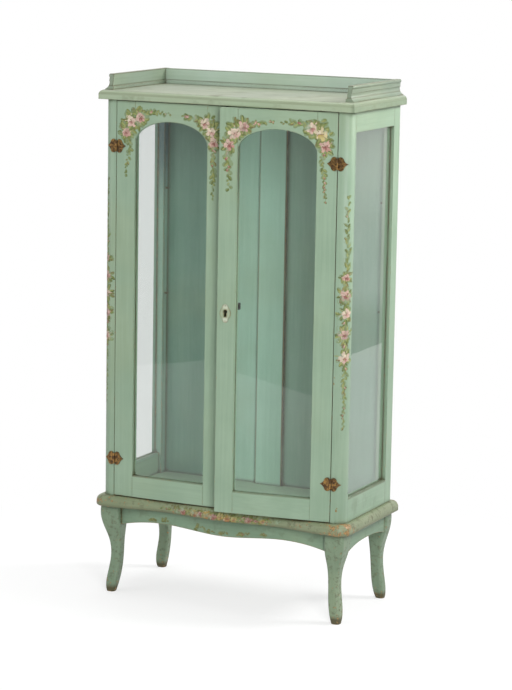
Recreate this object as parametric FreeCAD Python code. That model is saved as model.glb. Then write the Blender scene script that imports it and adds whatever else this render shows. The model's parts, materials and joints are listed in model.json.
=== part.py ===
"""Painted display cabinet: a glazed case with two arched doors on a stand with curved legs.

Millimetres, +Z up, the front of the case towards -Y. Every piece is drawn with the front of the
case on the plane y = 0 and the floor on z = 0, and the whole is centred on its depth at the end.
"""
import FreeCAD, Part
import math
import os
from FreeCAD import Vector

# Case
CASE_WIDTH = 586.0
CASE_DEPTH = 262.0
CASE_HEIGHT = 881.0
CASE_CORNER_RADIUS = 20.0
POST_WIDTH = 29.0
FRONT_POST_DEPTH = 26.0
REAR_POST_WIDTH = 26.0
REAR_POST_DEPTH = 31.0
SIDE_RAIL_THICKNESS = 20.0
SIDE_BOTTOM_RAIL = 53.0
SIDE_TOP_RAIL = 44.0
FLOOR_THICKNESS = 6.0
STOP_RAIL_HEIGHT = 22.0
STOP_RAIL_DEPTH = 12.0

# Back
MUNTIN_WIDTH = 66.0
MUNTIN_DEPTH = 18.0
BACK_TOP_RAIL = 44.0
BACK_PANEL_THICKNESS = 6.0
BACK_PANEL_REBATE = 8.0

# Doors
DOOR_THICKNESS = 20.0
HINGE_STILE = 45.0
MEETING_STILE = 41.0
DOOR_BOTTOM_RAIL = 48.0
DOOR_TOP_RAIL = 41.0
ARCH_RISE = 48.0
ARCH_TIP = 1.0
DOOR_SIDE_GAP = 1.0
DOOR_END_GAP = 2.0
MEETING_GAP = 3.0
DOOR_STOP_GAP = 0.5
RIGHT_DOOR_AJAR = 7.5

# Glazing
GLASS_THICKNESS = 3.0
GLASS_LIP = 8.0
GLASS_REBATE = 6.0
GLASS_CLEARANCE = 1.0

# Joinery
TENON_LENGTH = 12.0
TENON_THICKNESS = 7.0
TENON_SHOULDER = 8.0
TOP_TENON_SHOULDER = 4.0
JOINT_CLEARANCE = 0.2
APRON_END_GAP = 0.6

# Base board and aprons
BASE_THICKNESS = 24.0
BASE_SIDE_OVERHANG = 16.0
BASE_FRONT_OVERHANG = 18.0
BASE_BACK_OVERHANG = 10.0
BASE_CORNER_RADIUS = 28.0
BASE_DIP = 15.0
BASE_DIP_PLACE = 148.0
BASE_CENTRE_DIP = 3.0
BASE_TOP_ROUND = 14.0
BASE_LOWER_ROUND = 4.0
APRON_THICKNESS = 18.0
FRONT_APRON_SETBACK = 12.0
BACK_APRON_SETBACK = 8.0
SIDE_APRON_SETBACK = 1.0
APRON_END_HEIGHT = 43.0
APRON_BRACKET_HEIGHT = 37.0
APRON_BRACKET_LENGTH = 26.0
APRON_DIP_HEIGHT = 30.0
APRON_DIP_PLACE = 140.0
APRON_CENTRE_HEIGHT = 40.0
SIDE_APRON_MIDDLE_HEIGHT = 32.0
BACK_APRON_HEIGHT = 36.0
APRON_TENON_HEIGHT = 20.0

# Legs: how far each station stands out from the corner of the case, and reaches in from it
LEG_HEIGHT = 200.0
LEG_SETIN = 42.0
LEG_TOP_SETOUT = 3.0
KNEE_SETOUT = 4.0
KNEE_DROP = 21.0
SHOULDER_SETOUT = -0.5
SHOULDER_DROP = 46.0
SHIN_SETOUT = -8.5
SHIN_SETIN = 40.0
SHIN_HEIGHT = 127.0
ANKLE_SETOUT = -13.0
ANKLE_SETIN = 38.0
ANKLE_HEIGHT = 78.0
FOOT_SETOUT = -5.5
FOOT_SETIN = 29.0
FOOT_HEIGHT = 12.0
SOLE_SETOUT = -7.0
SOLE_SETIN = 26.0
LEG_CORNER_RADIUS = 7.0
REAR_LEG_SETBACK = 7.0
REAR_LEG_DEPTH = 34.0

# Top board and gallery
CORNICE_THICKNESS = 20.0
CORNICE_OVERHANG = 10.5
CORNICE_ROUND_IN = 8.0
CORNICE_ROUND_UP = 12.0
GALLERY_HEIGHT = 34.0
GALLERY_THICKNESS = 9.0
GALLERY_FLARE = 8.5
GALLERY_FOOT_HEIGHT = 1.5
GALLERY_COVE_HEIGHT = 17.0
GALLERY_GROOVE_HEIGHT = 1.0
GALLERY_STEP = 1.0
GALLERY_BEAD_HEIGHT = 7.0
GALLERY_BEAD_PROUD = 2.0
GALLERY_STRIP_HEIGHT = 8.0
GALLERY_STRIP_WIDTH = 2.5
GALLERY_STRIP_SLOPE = 1.5
GALLERY_FRONT_SETBACK = 15.5
GALLERY_FRONT_RAMP = 8.0
GALLERY_BACK_SETBACK = 1.5

# Hinges
HINGE_LOWER_HEIGHT = 85.5
HINGE_UPPER_DROP = 109.5
LEFT_HINGE_UPPER_DROP = 100.5
LEAF_THICKNESS = 1.6
LEAF_WIDTH = 23.0
LEAF_HALF_HEIGHT = 14.5
LEAF_ROOT_HALF_HEIGHT = 13.4
LEAF_LOBE_PLACE = 8.5
LEAF_NECK_PLACE = 14.0
LEAF_NECK_HALF_HEIGHT = 8.2
LEAF_HOLLOW_PLACE = 18.0
LEAF_HOLLOW_HALF_HEIGHT = 3.2
LEAF_CLEARANCE = 0.6
KNUCKLE_COUNT = 3
KNUCKLE_RADIUS = 2.6
KNUCKLE_LENGTH = 8.0
KNUCKLE_CLEARANCE = 0.3
PIN_RADIUS = 1.3
PIN_CLEARANCE = 0.05

# Lock
KEYHOLE_HEIGHT = 443.0
KEYHOLE_PLACE = 19.0
KEYHOLE_RADIUS = 4.2
KEYHOLE_SLOT_WIDTH = 6.0
KEYHOLE_SLOT_DROP = 11.5
ESCUTCHEON_WIDTH = 25.0
ESCUTCHEON_HEIGHT = 40.0
ESCUTCHEON_NECK_WIDTH = 13.0
ESCUTCHEON_BELLY_HEIGHT = 24.0
ESCUTCHEON_THICKNESS = 1.2
LOCK_PLATE_WIDTH = 36.0
LOCK_PLATE_HEIGHT = 56.0
LOCK_PLATE_THICKNESS = 2.0
LOCK_EDGE_GAP = 2.0
LOCK_BOX_WIDTH = 42.0
LOCK_BOX_HEIGHT = 14.0
LOCK_BOX_DEPTH = 9.0
LOCK_BOX_RISE = 10.0
LOCK_BOLT_HEIGHT = 8.0
LOCK_BOLT_THICKNESS = 5.0
LOCK_BOLT_LENGTH = 30.0
BOLT_CLEARANCE = 0.4
KEEP_LENGTH = 14.0
KEEP_EDGE_GAP = 4.0
KEEP_WALL = 3.0

# Edge bolts of the left door
EDGE_BOLT_SIZE = 6.0
EDGE_BOLT_LENGTH = 70.0
EDGE_BOLT_TRAVEL = 9.0
EDGE_BOLT_SETBACK = 2.0
EDGE_PLATE_THICKNESS = 2.0
EDGE_PLATE_WIDTH = 12.0
EDGE_PLATE_LENGTH = 92.0
THUMB_LENGTH = 10.0
THUMB_WIDTH = 4.0

# Shelf pegs
PEG_RADIUS = 2.0
PEG_IN_POST = 12.0
PEG_PROUD = 8.0
PEG_LOWER_HEIGHT = 425.0
PEG_UPPER_HEIGHT = 666.0
FRONT_PEG_SETIN = 3.0
REAR_PEG_SETIN = 11.0

# Heights and places that many pieces share
HALF_WIDTH = CASE_WIDTH / 2
BASE_TOP = LEG_HEIGHT + BASE_THICKNESS
CASE_TOP = BASE_TOP + CASE_HEIGHT
CORNICE_TOP = CASE_TOP + CORNICE_THICKNESS
POST_INNER = HALF_WIDTH - POST_WIDTH
RAIL_INNER = HALF_WIDTH - SIDE_RAIL_THICKNESS
REAR_POST_FRONT = CASE_DEPTH - REAR_POST_DEPTH
REAR_POST_INNER = HALF_WIDTH - REAR_POST_WIDTH
SIDE_OPEN_BOTTOM = BASE_TOP + SIDE_BOTTOM_RAIL
SIDE_OPEN_TOP = CASE_TOP - SIDE_TOP_RAIL
SIDE_GLASS_OUTER = HALF_WIDTH - GLASS_LIP
PANEL_FRONT = CASE_DEPTH - BACK_PANEL_REBATE
MUNTIN_FRONT = CASE_DEPTH - MUNTIN_DEPTH
STOP_FRONT = DOOR_THICKNESS + DOOR_STOP_GAP
REAR_LEG_BACK = CASE_DEPTH + REAR_LEG_SETBACK

# Right door, closed
DOOR_INNER = MEETING_GAP / 2
DOOR_OUTER = POST_INNER - DOOR_SIDE_GAP
DOOR_BOTTOM = BASE_TOP + DOOR_END_GAP
DOOR_TOP = CASE_TOP - DOOR_END_GAP
OPEN_INNER = DOOR_INNER + MEETING_STILE
OPEN_OUTER = DOOR_OUTER - HINGE_STILE
OPEN_BOTTOM = DOOR_BOTTOM + DOOR_BOTTOM_RAIL
ARCH_TOP = DOOR_TOP - DOOR_TOP_RAIL
ARCH_SPRING = ARCH_TOP - ARCH_RISE
HINGE_X = POST_INNER - DOOR_SIDE_GAP / 2
HINGE_Y = -KNUCKLE_RADIUS - KNUCKLE_CLEARANCE
HINGE_HEIGHTS = (BASE_TOP + HINGE_LOWER_HEIGHT, CASE_TOP - HINGE_UPPER_DROP)
LEFT_HINGE_HEIGHTS = (BASE_TOP + HINGE_LOWER_HEIGHT, CASE_TOP - LEFT_HINGE_UPPER_DROP)
KEYHOLE_X = DOOR_INNER + KEYHOLE_PLACE
KEYHOLE_Z = BASE_TOP + KEYHOLE_HEIGHT
LOCK_INNER = DOOR_INNER + LOCK_EDGE_GAP
LOCK_BOLT_Y = DOOR_THICKNESS + LOCK_BOX_DEPTH / 2
LOCK_BOLT_Z = KEYHOLE_Z + LOCK_BOX_RISE
EDGE_BOLT_ROOM = EDGE_BOLT_SIZE / 2 + BOLT_CLEARANCE
EDGE_BOLT_X = DOOR_INNER + EDGE_PLATE_THICKNESS + EDGE_BOLT_ROOM
EDGE_BOLT_Y = DOOR_THICKNESS / 2

# Top of the cabinet
CORNICE_SIDE = HALF_WIDTH + CORNICE_OVERHANG
CORNICE_FRONT = -CORNICE_OVERHANG
CORNICE_BACK = CASE_DEPTH + CORNICE_OVERHANG
GALLERY_WAIST = CORNICE_SIDE - CORNICE_ROUND_IN - GALLERY_FLARE
GALLERY_END = CORNICE_BACK - GALLERY_BACK_SETBACK

UP = Vector(0, 0, 1)
BACKWARD = Vector(0, 1, 0)
SIDEWAYS = Vector(1, 0, 0)
ORIGIN = Vector(0, 0, 0)
DIAGONAL = math.sqrt(0.5)
RIGHT_ANGLE = 90


def block(low, high):
    """Box between two corners."""
    size = Vector(*high) - Vector(*low)
    return Part.makeBox(size.x, size.y, size.z, Vector(*low))


def grown_block(low, high, margin):
    """Box between two corners, larger by a margin on every side."""
    wide = Vector(margin, margin, margin)
    return block(tuple(Vector(*low) - wide), tuple(Vector(*high) + wide))


def line(start, end):
    return Part.LineSegment(Vector(*start), Vector(*end)).toShape()


def arc(start, middle, end):
    return Part.Arc(Vector(*start), Vector(*middle), Vector(*end)).toShape()


def quarter(start, end, centre):
    """Quarter circle from start to end about a centre."""
    middle = Vector(*centre) + (Vector(*start) + Vector(*end) - Vector(*centre) * 2) * DIAGONAL
    return arc(start, middle, end)


def smooth(points, end_direction=None):
    """Smooth curve through points, whose two ends may run in a given direction."""
    curve = Part.BSplineCurve()
    vectors = [Vector(*point) for point in points]
    if end_direction is None:
        curve.interpolate(vectors)
    else:
        curve.interpolate(vectors, InitialTangent=end_direction, FinalTangent=end_direction)
    return curve.toShape()


def polygon(points):
    """Closed run of straight edges."""
    return [line(points[index - 1], points[index]) for index in range(len(points))]


def extruded(edges, direction):
    return Part.Face(Part.Wire(edges)).extrude(direction)


def mirrored(shape):
    """The same piece on the other side of the cabinet."""
    return shape.mirror(ORIGIN, SIDEWAYS)


def group(shapes):
    return Part.makeCompound(shapes)


def cut_mortises(shape, tenons):
    """Cut a hole with a little room for each tenon."""
    for low, high in tenons:
        shape = shape.cut(grown_block(low, high, JOINT_CLEARANCE))
    return shape


def add_tenons(shape, tenons):
    for low, high in tenons:
        shape = shape.fuse(block(low, high))
    return shape.removeSplitter()


def both_sides(pieces, name, shape):
    pieces[name + "_right"] = shape
    pieces[name + "_left"] = mirrored(shape)


# Stand

def rounded_station(x_range, y_range, height):
    """Leg section with rounded corners at one height."""
    radius = LEG_CORNER_RADIUS
    (x_low, x_high), (y_low, y_high) = x_range, y_range
    x_in, x_out = x_low + radius, x_high - radius
    y_in, y_out = y_low + radius, y_high - radius
    turns = [
        ((x_low, y_in), (x_in, y_low), (x_in, y_in)),
        ((x_out, y_low), (x_high, y_in), (x_out, y_in)),
        ((x_high, y_out), (x_out, y_high), (x_out, y_out)),
        ((x_in, y_high), (x_low, y_out), (x_in, y_out)),
    ]
    outline = []
    for index, (start, end, centre) in enumerate(turns):
        next_start = turns[(index + 1) % len(turns)][0]
        outline.append(quarter((*start, height), (*end, height), (*centre, height)))
        outline.append(line((*end, height), (*next_start, height)))
    return Part.Wire(outline)


def leg_stations():
    """Height, set-out and set-in of the leg, from the sole up."""
    return [
        (0, SOLE_SETOUT, SOLE_SETIN),
        (FOOT_HEIGHT, FOOT_SETOUT, FOOT_SETIN),
        (ANKLE_HEIGHT, ANKLE_SETOUT, ANKLE_SETIN),
        (SHIN_HEIGHT, SHIN_SETOUT, SHIN_SETIN),
        (LEG_HEIGHT - SHOULDER_DROP, SHOULDER_SETOUT, LEG_SETIN),
        (LEG_HEIGHT - KNEE_DROP, KNEE_SETOUT, LEG_SETIN),
        (LEG_HEIGHT, LEG_TOP_SETOUT, LEG_SETIN),
    ]


def right_leg(front):
    """Curved leg: the front one bends out on two faces, the rear one to its side only."""
    sections = []
    for height, setout, setin in leg_stations():
        if front:
            y_range = (-setout, setin)
        else:
            y_range = (REAR_LEG_BACK - min(setout + setin, REAR_LEG_DEPTH), REAR_LEG_BACK)
        sections.append(rounded_station((HALF_WIDTH - setin, HALF_WIDTH + setout), y_range, height))
    return cut_mortises(Part.makeLoft(sections, True, False), apron_tenons(front))


# Where the aprons meet the legs
APRON_X_END = HALF_WIDTH - LEG_SETIN - APRON_END_GAP
APRON_Y_FRONT = LEG_SETIN + APRON_END_GAP
APRON_Y_BACK = REAR_LEG_BACK - REAR_LEG_DEPTH - APRON_END_GAP
BACK_APRON_FRONT = CASE_DEPTH - BACK_APRON_SETBACK - APRON_THICKNESS
SIDE_APRON_FACE = HALF_WIDTH - SIDE_APRON_SETBACK


def apron_tenons(front):
    """Tenons that enter the right front or rear leg: from the cross apron and the side apron."""
    high = LEG_HEIGHT - TENON_SHOULDER
    low = high - APRON_TENON_HEIGHT
    inset = (APRON_THICKNESS - TENON_THICKNESS) / 2
    cross_y = inset + (FRONT_APRON_SETBACK if front else BACK_APRON_FRONT)
    side_x = SIDE_APRON_FACE - inset
    side_y = APRON_Y_FRONT - TENON_LENGTH if front else APRON_Y_BACK
    cross = ((APRON_X_END, cross_y, low), (APRON_X_END + TENON_LENGTH, cross_y + TENON_THICKNESS, high))
    side = ((side_x - TENON_THICKNESS, side_y, low), (side_x, side_y + TENON_LENGTH, high))
    return [cross, side]


def front_apron():
    """Board between the front legs, its lower edge a double wave with a drop in the middle."""
    half_wave = [
        (APRON_DIP_PLACE, APRON_DIP_HEIGHT),
        (APRON_X_END - APRON_BRACKET_LENGTH, APRON_BRACKET_HEIGHT),
        (APRON_X_END, APRON_END_HEIGHT),
    ]
    wave = [(-x, height) for x, height in reversed(half_wave)] + [(0, APRON_CENTRE_HEIGHT)] + half_wave
    lower = [(x, FRONT_APRON_SETBACK, LEG_HEIGHT - height) for x, height in wave]
    top_left = (-APRON_X_END, FRONT_APRON_SETBACK, LEG_HEIGHT)
    top_right = (APRON_X_END, FRONT_APRON_SETBACK, LEG_HEIGHT)
    edges = [smooth(lower), line(lower[-1], top_right), line(top_right, top_left), line(top_left, lower[0])]
    half = add_tenons(extruded(edges, BACKWARD * APRON_THICKNESS), apron_tenons(True)[:1])
    return half.fuse(mirrored(half)).removeSplitter()


def back_apron():
    low = (-APRON_X_END, BACK_APRON_FRONT, LEG_HEIGHT - BACK_APRON_HEIGHT)
    apron = block(low, (APRON_X_END, BACK_APRON_FRONT + APRON_THICKNESS, LEG_HEIGHT))
    half = add_tenons(apron, apron_tenons(False)[:1])
    return half.fuse(mirrored(half)).removeSplitter()


def right_apron():
    """Side board with a shallow arched lower edge."""
    arch = [
        (APRON_Y_FRONT, APRON_END_HEIGHT),
        (APRON_Y_FRONT + APRON_BRACKET_LENGTH, APRON_BRACKET_HEIGHT),
        ((APRON_Y_FRONT + APRON_Y_BACK) / 2, SIDE_APRON_MIDDLE_HEIGHT),
        (APRON_Y_BACK - APRON_BRACKET_LENGTH, APRON_BRACKET_HEIGHT),
        (APRON_Y_BACK, APRON_END_HEIGHT),
    ]
    lower = [(SIDE_APRON_FACE, y, LEG_HEIGHT - height) for y, height in arch]
    top_front = (SIDE_APRON_FACE, APRON_Y_FRONT, LEG_HEIGHT)
    top_back = (SIDE_APRON_FACE, APRON_Y_BACK, LEG_HEIGHT)
    edges = [smooth(lower), line(lower[-1], top_back), line(top_back, top_front), line(top_front, lower[0])]
    apron = extruded(edges, SIDEWAYS * -APRON_THICKNESS)
    return add_tenons(apron, [apron_tenons(True)[1], apron_tenons(False)[1]])


def rounded_rim(board, height, radius, back):
    """Round the edges of a board at one height, all but the straight edge at the back."""
    chosen = []
    for edge in board.Edges:
        box = edge.BoundBox
        level = abs(box.ZMin - height) < JOINT_CLEARANCE and abs(box.ZMax - height) < JOINT_CLEARANCE
        if level and back - box.YMin > JOINT_CLEARANCE:
            chosen.append(edge)
    return board.makeFillet(radius, chosen)


def base_board():
    """Serpentine board under the case: full at the corners and the middle, drawn in between."""
    side = HALF_WIDTH + BASE_SIDE_OVERHANG
    front = -BASE_FRONT_OVERHANG
    back = CASE_DEPTH + BASE_BACK_OVERHANG
    corner_x, corner_y = side - BASE_CORNER_RADIUS, front + BASE_CORNER_RADIUS
    wave = [
        (-corner_x, front, LEG_HEIGHT),
        (-BASE_DIP_PLACE, front + BASE_DIP, LEG_HEIGHT),
        (0, front + BASE_CENTRE_DIP, LEG_HEIGHT),
        (BASE_DIP_PLACE, front + BASE_DIP, LEG_HEIGHT),
        (corner_x, front, LEG_HEIGHT),
    ]
    side_left, side_right = (-side, corner_y, LEG_HEIGHT), (side, corner_y, LEG_HEIGHT)
    back_left, back_right = (-side, back, LEG_HEIGHT), (side, back, LEG_HEIGHT)
    outline = [
        smooth(wave, SIDEWAYS),
        quarter(wave[-1], side_right, (corner_x, corner_y, LEG_HEIGHT)),
        line(side_right, back_right),
        line(back_right, back_left),
        line(back_left, side_left),
        quarter(side_left, wave[0], (-corner_x, corner_y, LEG_HEIGHT)),
    ]
    board = extruded(outline, UP * BASE_THICKNESS)
    board = rounded_rim(board, BASE_TOP, BASE_TOP_ROUND, back)
    board = rounded_rim(board, LEG_HEIGHT, BASE_LOWER_ROUND, back)
    return board.cut(edge_bolt_socket(BASE_TOP, -1))


# Case

def front_post():
    """Right front post with a rounded outer corner."""
    radius = CASE_CORNER_RADIUS
    corner_front = (HALF_WIDTH - radius, 0, BASE_TOP)
    corner_side = (HALF_WIDTH, radius, BASE_TOP)
    back_outer = (HALF_WIDTH, FRONT_POST_DEPTH, BASE_TOP)
    back_inner = (POST_INNER, FRONT_POST_DEPTH, BASE_TOP)
    front_inner = (POST_INNER, 0, BASE_TOP)
    outline = [
        quarter(corner_front, corner_side, (HALF_WIDTH - radius, radius, BASE_TOP)),
        line(corner_side, back_outer),
        line(back_outer, back_inner),
        line(back_inner, front_inner),
        line(front_inner, corner_front),
    ]
    post = extruded(outline, UP * CASE_HEIGHT).cut(side_pocket(POST_INNER))
    return cut_mortises(post, side_tenons())


def rear_post():
    """Right rear post, rebated at the back for the panel."""
    inner = REAR_POST_INNER
    post = block((inner, REAR_POST_FRONT, BASE_TOP), (HALF_WIDTH, CASE_DEPTH, CASE_TOP))
    rebate = block((inner, PANEL_FRONT, BASE_TOP), (inner + BACK_PANEL_REBATE, CASE_DEPTH, CASE_TOP))
    post = post.cut(rebate).cut(side_pocket(inner))
    return cut_mortises(post, side_tenons()).cut(group(right_pegs()))


# Space behind the lip of the right side frame
SIDE_POCKET_FRONT = FRONT_POST_DEPTH - GLASS_REBATE
SIDE_POCKET_BACK = REAR_POST_FRONT + GLASS_REBATE
SIDE_POCKET_BOTTOM = SIDE_OPEN_BOTTOM - GLASS_REBATE
SIDE_POCKET_TOP = SIDE_OPEN_TOP + GLASS_REBATE


def side_pocket(inner):
    """Rebate for the right side pane and its beads, open to the inside."""
    low = (inner, SIDE_POCKET_FRONT, SIDE_POCKET_BOTTOM)
    return block(low, (SIDE_GLASS_OUTER, SIDE_POCKET_BACK, SIDE_POCKET_TOP))


def side_tenons():
    """Tenons of the right side rails in the front and rear posts: bottom rail first."""
    bottom = (BASE_TOP + TENON_SHOULDER, SIDE_POCKET_BOTTOM - TENON_SHOULDER)
    top = (SIDE_POCKET_TOP + TENON_SHOULDER, CASE_TOP - TENON_SHOULDER)
    tenons = []
    for z_low, z_high in (bottom, top):
        for y_low in (FRONT_POST_DEPTH - TENON_LENGTH, REAR_POST_FRONT):
            low = (SIDE_GLASS_OUTER - TENON_THICKNESS, y_low, z_low)
            tenons.append((low, (SIDE_GLASS_OUTER, y_low + TENON_LENGTH, z_high)))
    return tenons


def side_rail(z_low, z_high, tenons):
    rail = block((RAIL_INNER, FRONT_POST_DEPTH, z_low), (HALF_WIDTH, REAR_POST_FRONT, z_high))
    return add_tenons(rail.cut(side_pocket(RAIL_INNER)), tenons)


def side_glass():
    low = (SIDE_GLASS_OUTER - GLASS_THICKNESS, SIDE_POCKET_FRONT + GLASS_CLEARANCE, SIDE_POCKET_BOTTOM)
    back, top = SIDE_POCKET_BACK - GLASS_CLEARANCE, SIDE_POCKET_TOP - GLASS_CLEARANCE
    return block(low, (SIDE_GLASS_OUTER, back, top))


def side_beads():
    """Four strips that hold the right side pane, flush with the posts and rails inside."""
    outer = SIDE_GLASS_OUTER - GLASS_THICKNESS
    front_low = (POST_INNER, SIDE_POCKET_FRONT, SIDE_POCKET_BOTTOM)
    back_low = (REAR_POST_INNER, REAR_POST_FRONT, SIDE_POCKET_BOTTOM)
    bottom_low = (RAIL_INNER, FRONT_POST_DEPTH, SIDE_POCKET_BOTTOM)
    top_low = (RAIL_INNER, FRONT_POST_DEPTH, SIDE_OPEN_TOP)
    return group([
        block(front_low, (outer, FRONT_POST_DEPTH, SIDE_POCKET_TOP)).cut(group(right_pegs())),
        block(back_low, (outer, SIDE_POCKET_BACK, SIDE_POCKET_TOP)),
        block(bottom_low, (outer, REAR_POST_FRONT, SIDE_OPEN_BOTTOM)),
        block(top_low, (outer, REAR_POST_FRONT, SIDE_POCKET_TOP)),
    ])


def right_pegs():
    """Shelf pegs in the right posts, at two heights."""
    pegs = []
    for height in (PEG_LOWER_HEIGHT, PEG_UPPER_HEIGHT):
        for inner, y in ((POST_INNER, FRONT_POST_DEPTH - FRONT_PEG_SETIN),
                         (REAR_POST_INNER, REAR_POST_FRONT + REAR_PEG_SETIN)):
            start = Vector(inner - PEG_PROUD, y, BASE_TOP + height)
            pegs.append(Part.makeCylinder(PEG_RADIUS, PEG_PROUD + PEG_IN_POST, start, SIDEWAYS))
    return pegs


def top_stop_rail():
    """Rail under the top board that the closed doors stop against."""
    low = (-POST_INNER, STOP_FRONT, CASE_TOP - STOP_RAIL_HEIGHT)
    return block(low, (POST_INNER, STOP_FRONT + STOP_RAIL_DEPTH, CASE_TOP))


def floor_board():
    """Floor of the case, cut round the posts and the muntin; its front edge stops the doors."""
    side = RAIL_INNER - JOINT_CLEARANCE
    half = MUNTIN_WIDTH / 2
    top = BASE_TOP + FLOOR_THICKNESS
    floor = block((-side, STOP_FRONT, BASE_TOP), (side, PANEL_FRONT - JOINT_CLEARANCE, top))
    notches = [
        ((POST_INNER, 0, BASE_TOP), (HALF_WIDTH, FRONT_POST_DEPTH, top)),
        ((REAR_POST_INNER, REAR_POST_FRONT, BASE_TOP), (HALF_WIDTH, CASE_DEPTH, top)),
        ((-half, MUNTIN_FRONT, BASE_TOP), (half, CASE_DEPTH, top)),
    ]
    for low, high in notches:
        notch = grown_block(low, high, JOINT_CLEARANCE)
        floor = floor.cut(notch).cut(mirrored(notch))
    return floor


def back_muntin():
    """Upright in the middle of the back, rebated for both panels."""
    half = MUNTIN_WIDTH / 2
    muntin = block((-half, MUNTIN_FRONT, BASE_TOP), (half, CASE_DEPTH, CASE_TOP - BACK_TOP_RAIL))
    rebate = block((half - BACK_PANEL_REBATE, PANEL_FRONT, BASE_TOP), (half, CASE_DEPTH, CASE_TOP))
    return muntin.cut(rebate).cut(mirrored(rebate))


def back_top_rail():
    """Rail across the top of the back, rebated along its lower edge."""
    bottom = CASE_TOP - BACK_TOP_RAIL
    rail = block((-REAR_POST_INNER, MUNTIN_FRONT, bottom), (REAR_POST_INNER, CASE_DEPTH, CASE_TOP))
    rebate_high = (REAR_POST_INNER, CASE_DEPTH, bottom + BACK_PANEL_REBATE)
    return rail.cut(block((-REAR_POST_INNER, PANEL_FRONT, bottom), rebate_high))


def back_panel():
    """Right panel of the back, let in from behind."""
    inner = MUNTIN_WIDTH / 2 - BACK_PANEL_REBATE + JOINT_CLEARANCE
    outer = REAR_POST_INNER + BACK_PANEL_REBATE - JOINT_CLEARANCE
    top = CASE_TOP - BACK_TOP_RAIL + BACK_PANEL_REBATE - JOINT_CLEARANCE
    return block((inner, PANEL_FRONT, BASE_TOP), (outer, PANEL_FRONT + BACK_PANEL_THICKNESS, top))


# Doors, drawn closed on the right side

# Space behind the lip of the door, square at the top
DOOR_POCKET_INNER = OPEN_INNER - GLASS_REBATE
DOOR_POCKET_OUTER = OPEN_OUTER + GLASS_REBATE
DOOR_POCKET_BOTTOM = OPEN_BOTTOM - GLASS_REBATE
DOOR_POCKET_TOP = ARCH_TOP + GLASS_REBATE


def door_pocket():
    low = (DOOR_POCKET_INNER, GLASS_LIP, DOOR_POCKET_BOTTOM)
    return block(low, (DOOR_POCKET_OUTER, DOOR_THICKNESS, DOOR_POCKET_TOP))


def door_tenons(z_low, z_high):
    """Tenons at both ends of a door rail."""
    y_high = GLASS_LIP + TENON_THICKNESS
    inner = ((OPEN_INNER - TENON_LENGTH, GLASS_LIP, z_low), (OPEN_INNER, y_high, z_high))
    outer = ((OPEN_OUTER, GLASS_LIP, z_low), (OPEN_OUTER + TENON_LENGTH, y_high, z_high))
    return [inner, outer]


def bottom_rail_tenons():
    return door_tenons(DOOR_BOTTOM + TENON_SHOULDER, DOOR_POCKET_BOTTOM - TENON_SHOULDER)


def top_rail_tenons():
    return door_tenons(DOOR_POCKET_TOP + TOP_TENON_SHOULDER, DOOR_TOP - TENON_SHOULDER)


def door_stile(x_low, x_high):
    stile = block((x_low, 0, DOOR_BOTTOM), (x_high, DOOR_THICKNESS, DOOR_TOP)).cut(door_pocket())
    return cut_mortises(stile, bottom_rail_tenons() + top_rail_tenons())


def door_bottom_rail():
    rail = block((OPEN_INNER, 0, DOOR_BOTTOM), (OPEN_OUTER, DOOR_THICKNESS, OPEN_BOTTOM))
    return add_tenons(rail.cut(door_pocket()), bottom_rail_tenons())


def door_arch_rail():
    """Top rail with a half ellipse cut under it; its ends stop where the arch nears the stiles."""
    half = (OPEN_OUTER - OPEN_INNER) / 2
    tip = ARCH_SPRING + ARCH_RISE * math.sqrt(1 - ((half - ARCH_TIP) / half) ** 2)
    rail = block((OPEN_INNER, 0, tip), (OPEN_OUTER, DOOR_THICKNESS, DOOR_TOP)).cut(door_pocket())
    arch = extruded([Part.Ellipse(ORIGIN, half, ARCH_RISE).toShape()], UP * DOOR_THICKNESS)
    arch.rotate(ORIGIN, SIDEWAYS, RIGHT_ANGLE)
    arch.translate(Vector(OPEN_INNER + half, DOOR_THICKNESS, ARCH_SPRING))
    return add_tenons(rail.cut(arch), top_rail_tenons())


def door_glass():
    low = (DOOR_POCKET_INNER + GLASS_CLEARANCE, GLASS_LIP, DOOR_POCKET_BOTTOM)
    back = GLASS_LIP + GLASS_THICKNESS
    return block(low, (DOOR_POCKET_OUTER - GLASS_CLEARANCE, back, DOOR_POCKET_TOP - GLASS_CLEARANCE))


def door_beads():
    """Four strips that hold the pane in its rebate."""
    front = GLASS_LIP + GLASS_THICKNESS
    inner_low = (DOOR_POCKET_INNER, front, DOOR_POCKET_BOTTOM)
    outer_low = (OPEN_OUTER, front, DOOR_POCKET_BOTTOM)
    bottom_low = (OPEN_INNER, front, DOOR_POCKET_BOTTOM)
    top_low = (OPEN_INNER, front, ARCH_TOP)
    return group([
        block(inner_low, (OPEN_INNER, DOOR_THICKNESS, DOOR_POCKET_TOP)),
        block(outer_low, (DOOR_POCKET_OUTER, DOOR_THICKNESS, DOOR_POCKET_TOP)),
        block(bottom_low, (OPEN_OUTER, DOOR_THICKNESS, OPEN_BOTTOM)),
        block(top_low, (OPEN_OUTER, DOOR_THICKNESS, DOOR_POCKET_TOP)),
    ])


# Butterfly hinges on the face of the right door and post

def post_face(margin):
    """Front and rounded corner of the right post, larger by a margin."""
    centre = Vector(HALF_WIDTH - CASE_CORNER_RADIUS, CASE_CORNER_RADIUS, BASE_TOP)
    flat = block((POST_INNER, -margin, BASE_TOP), (centre.x, CASE_CORNER_RADIUS, CASE_TOP))
    return flat.fuse(Part.makeCylinder(CASE_CORNER_RADIUS + margin, CASE_HEIGHT, centre, UP))


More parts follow.
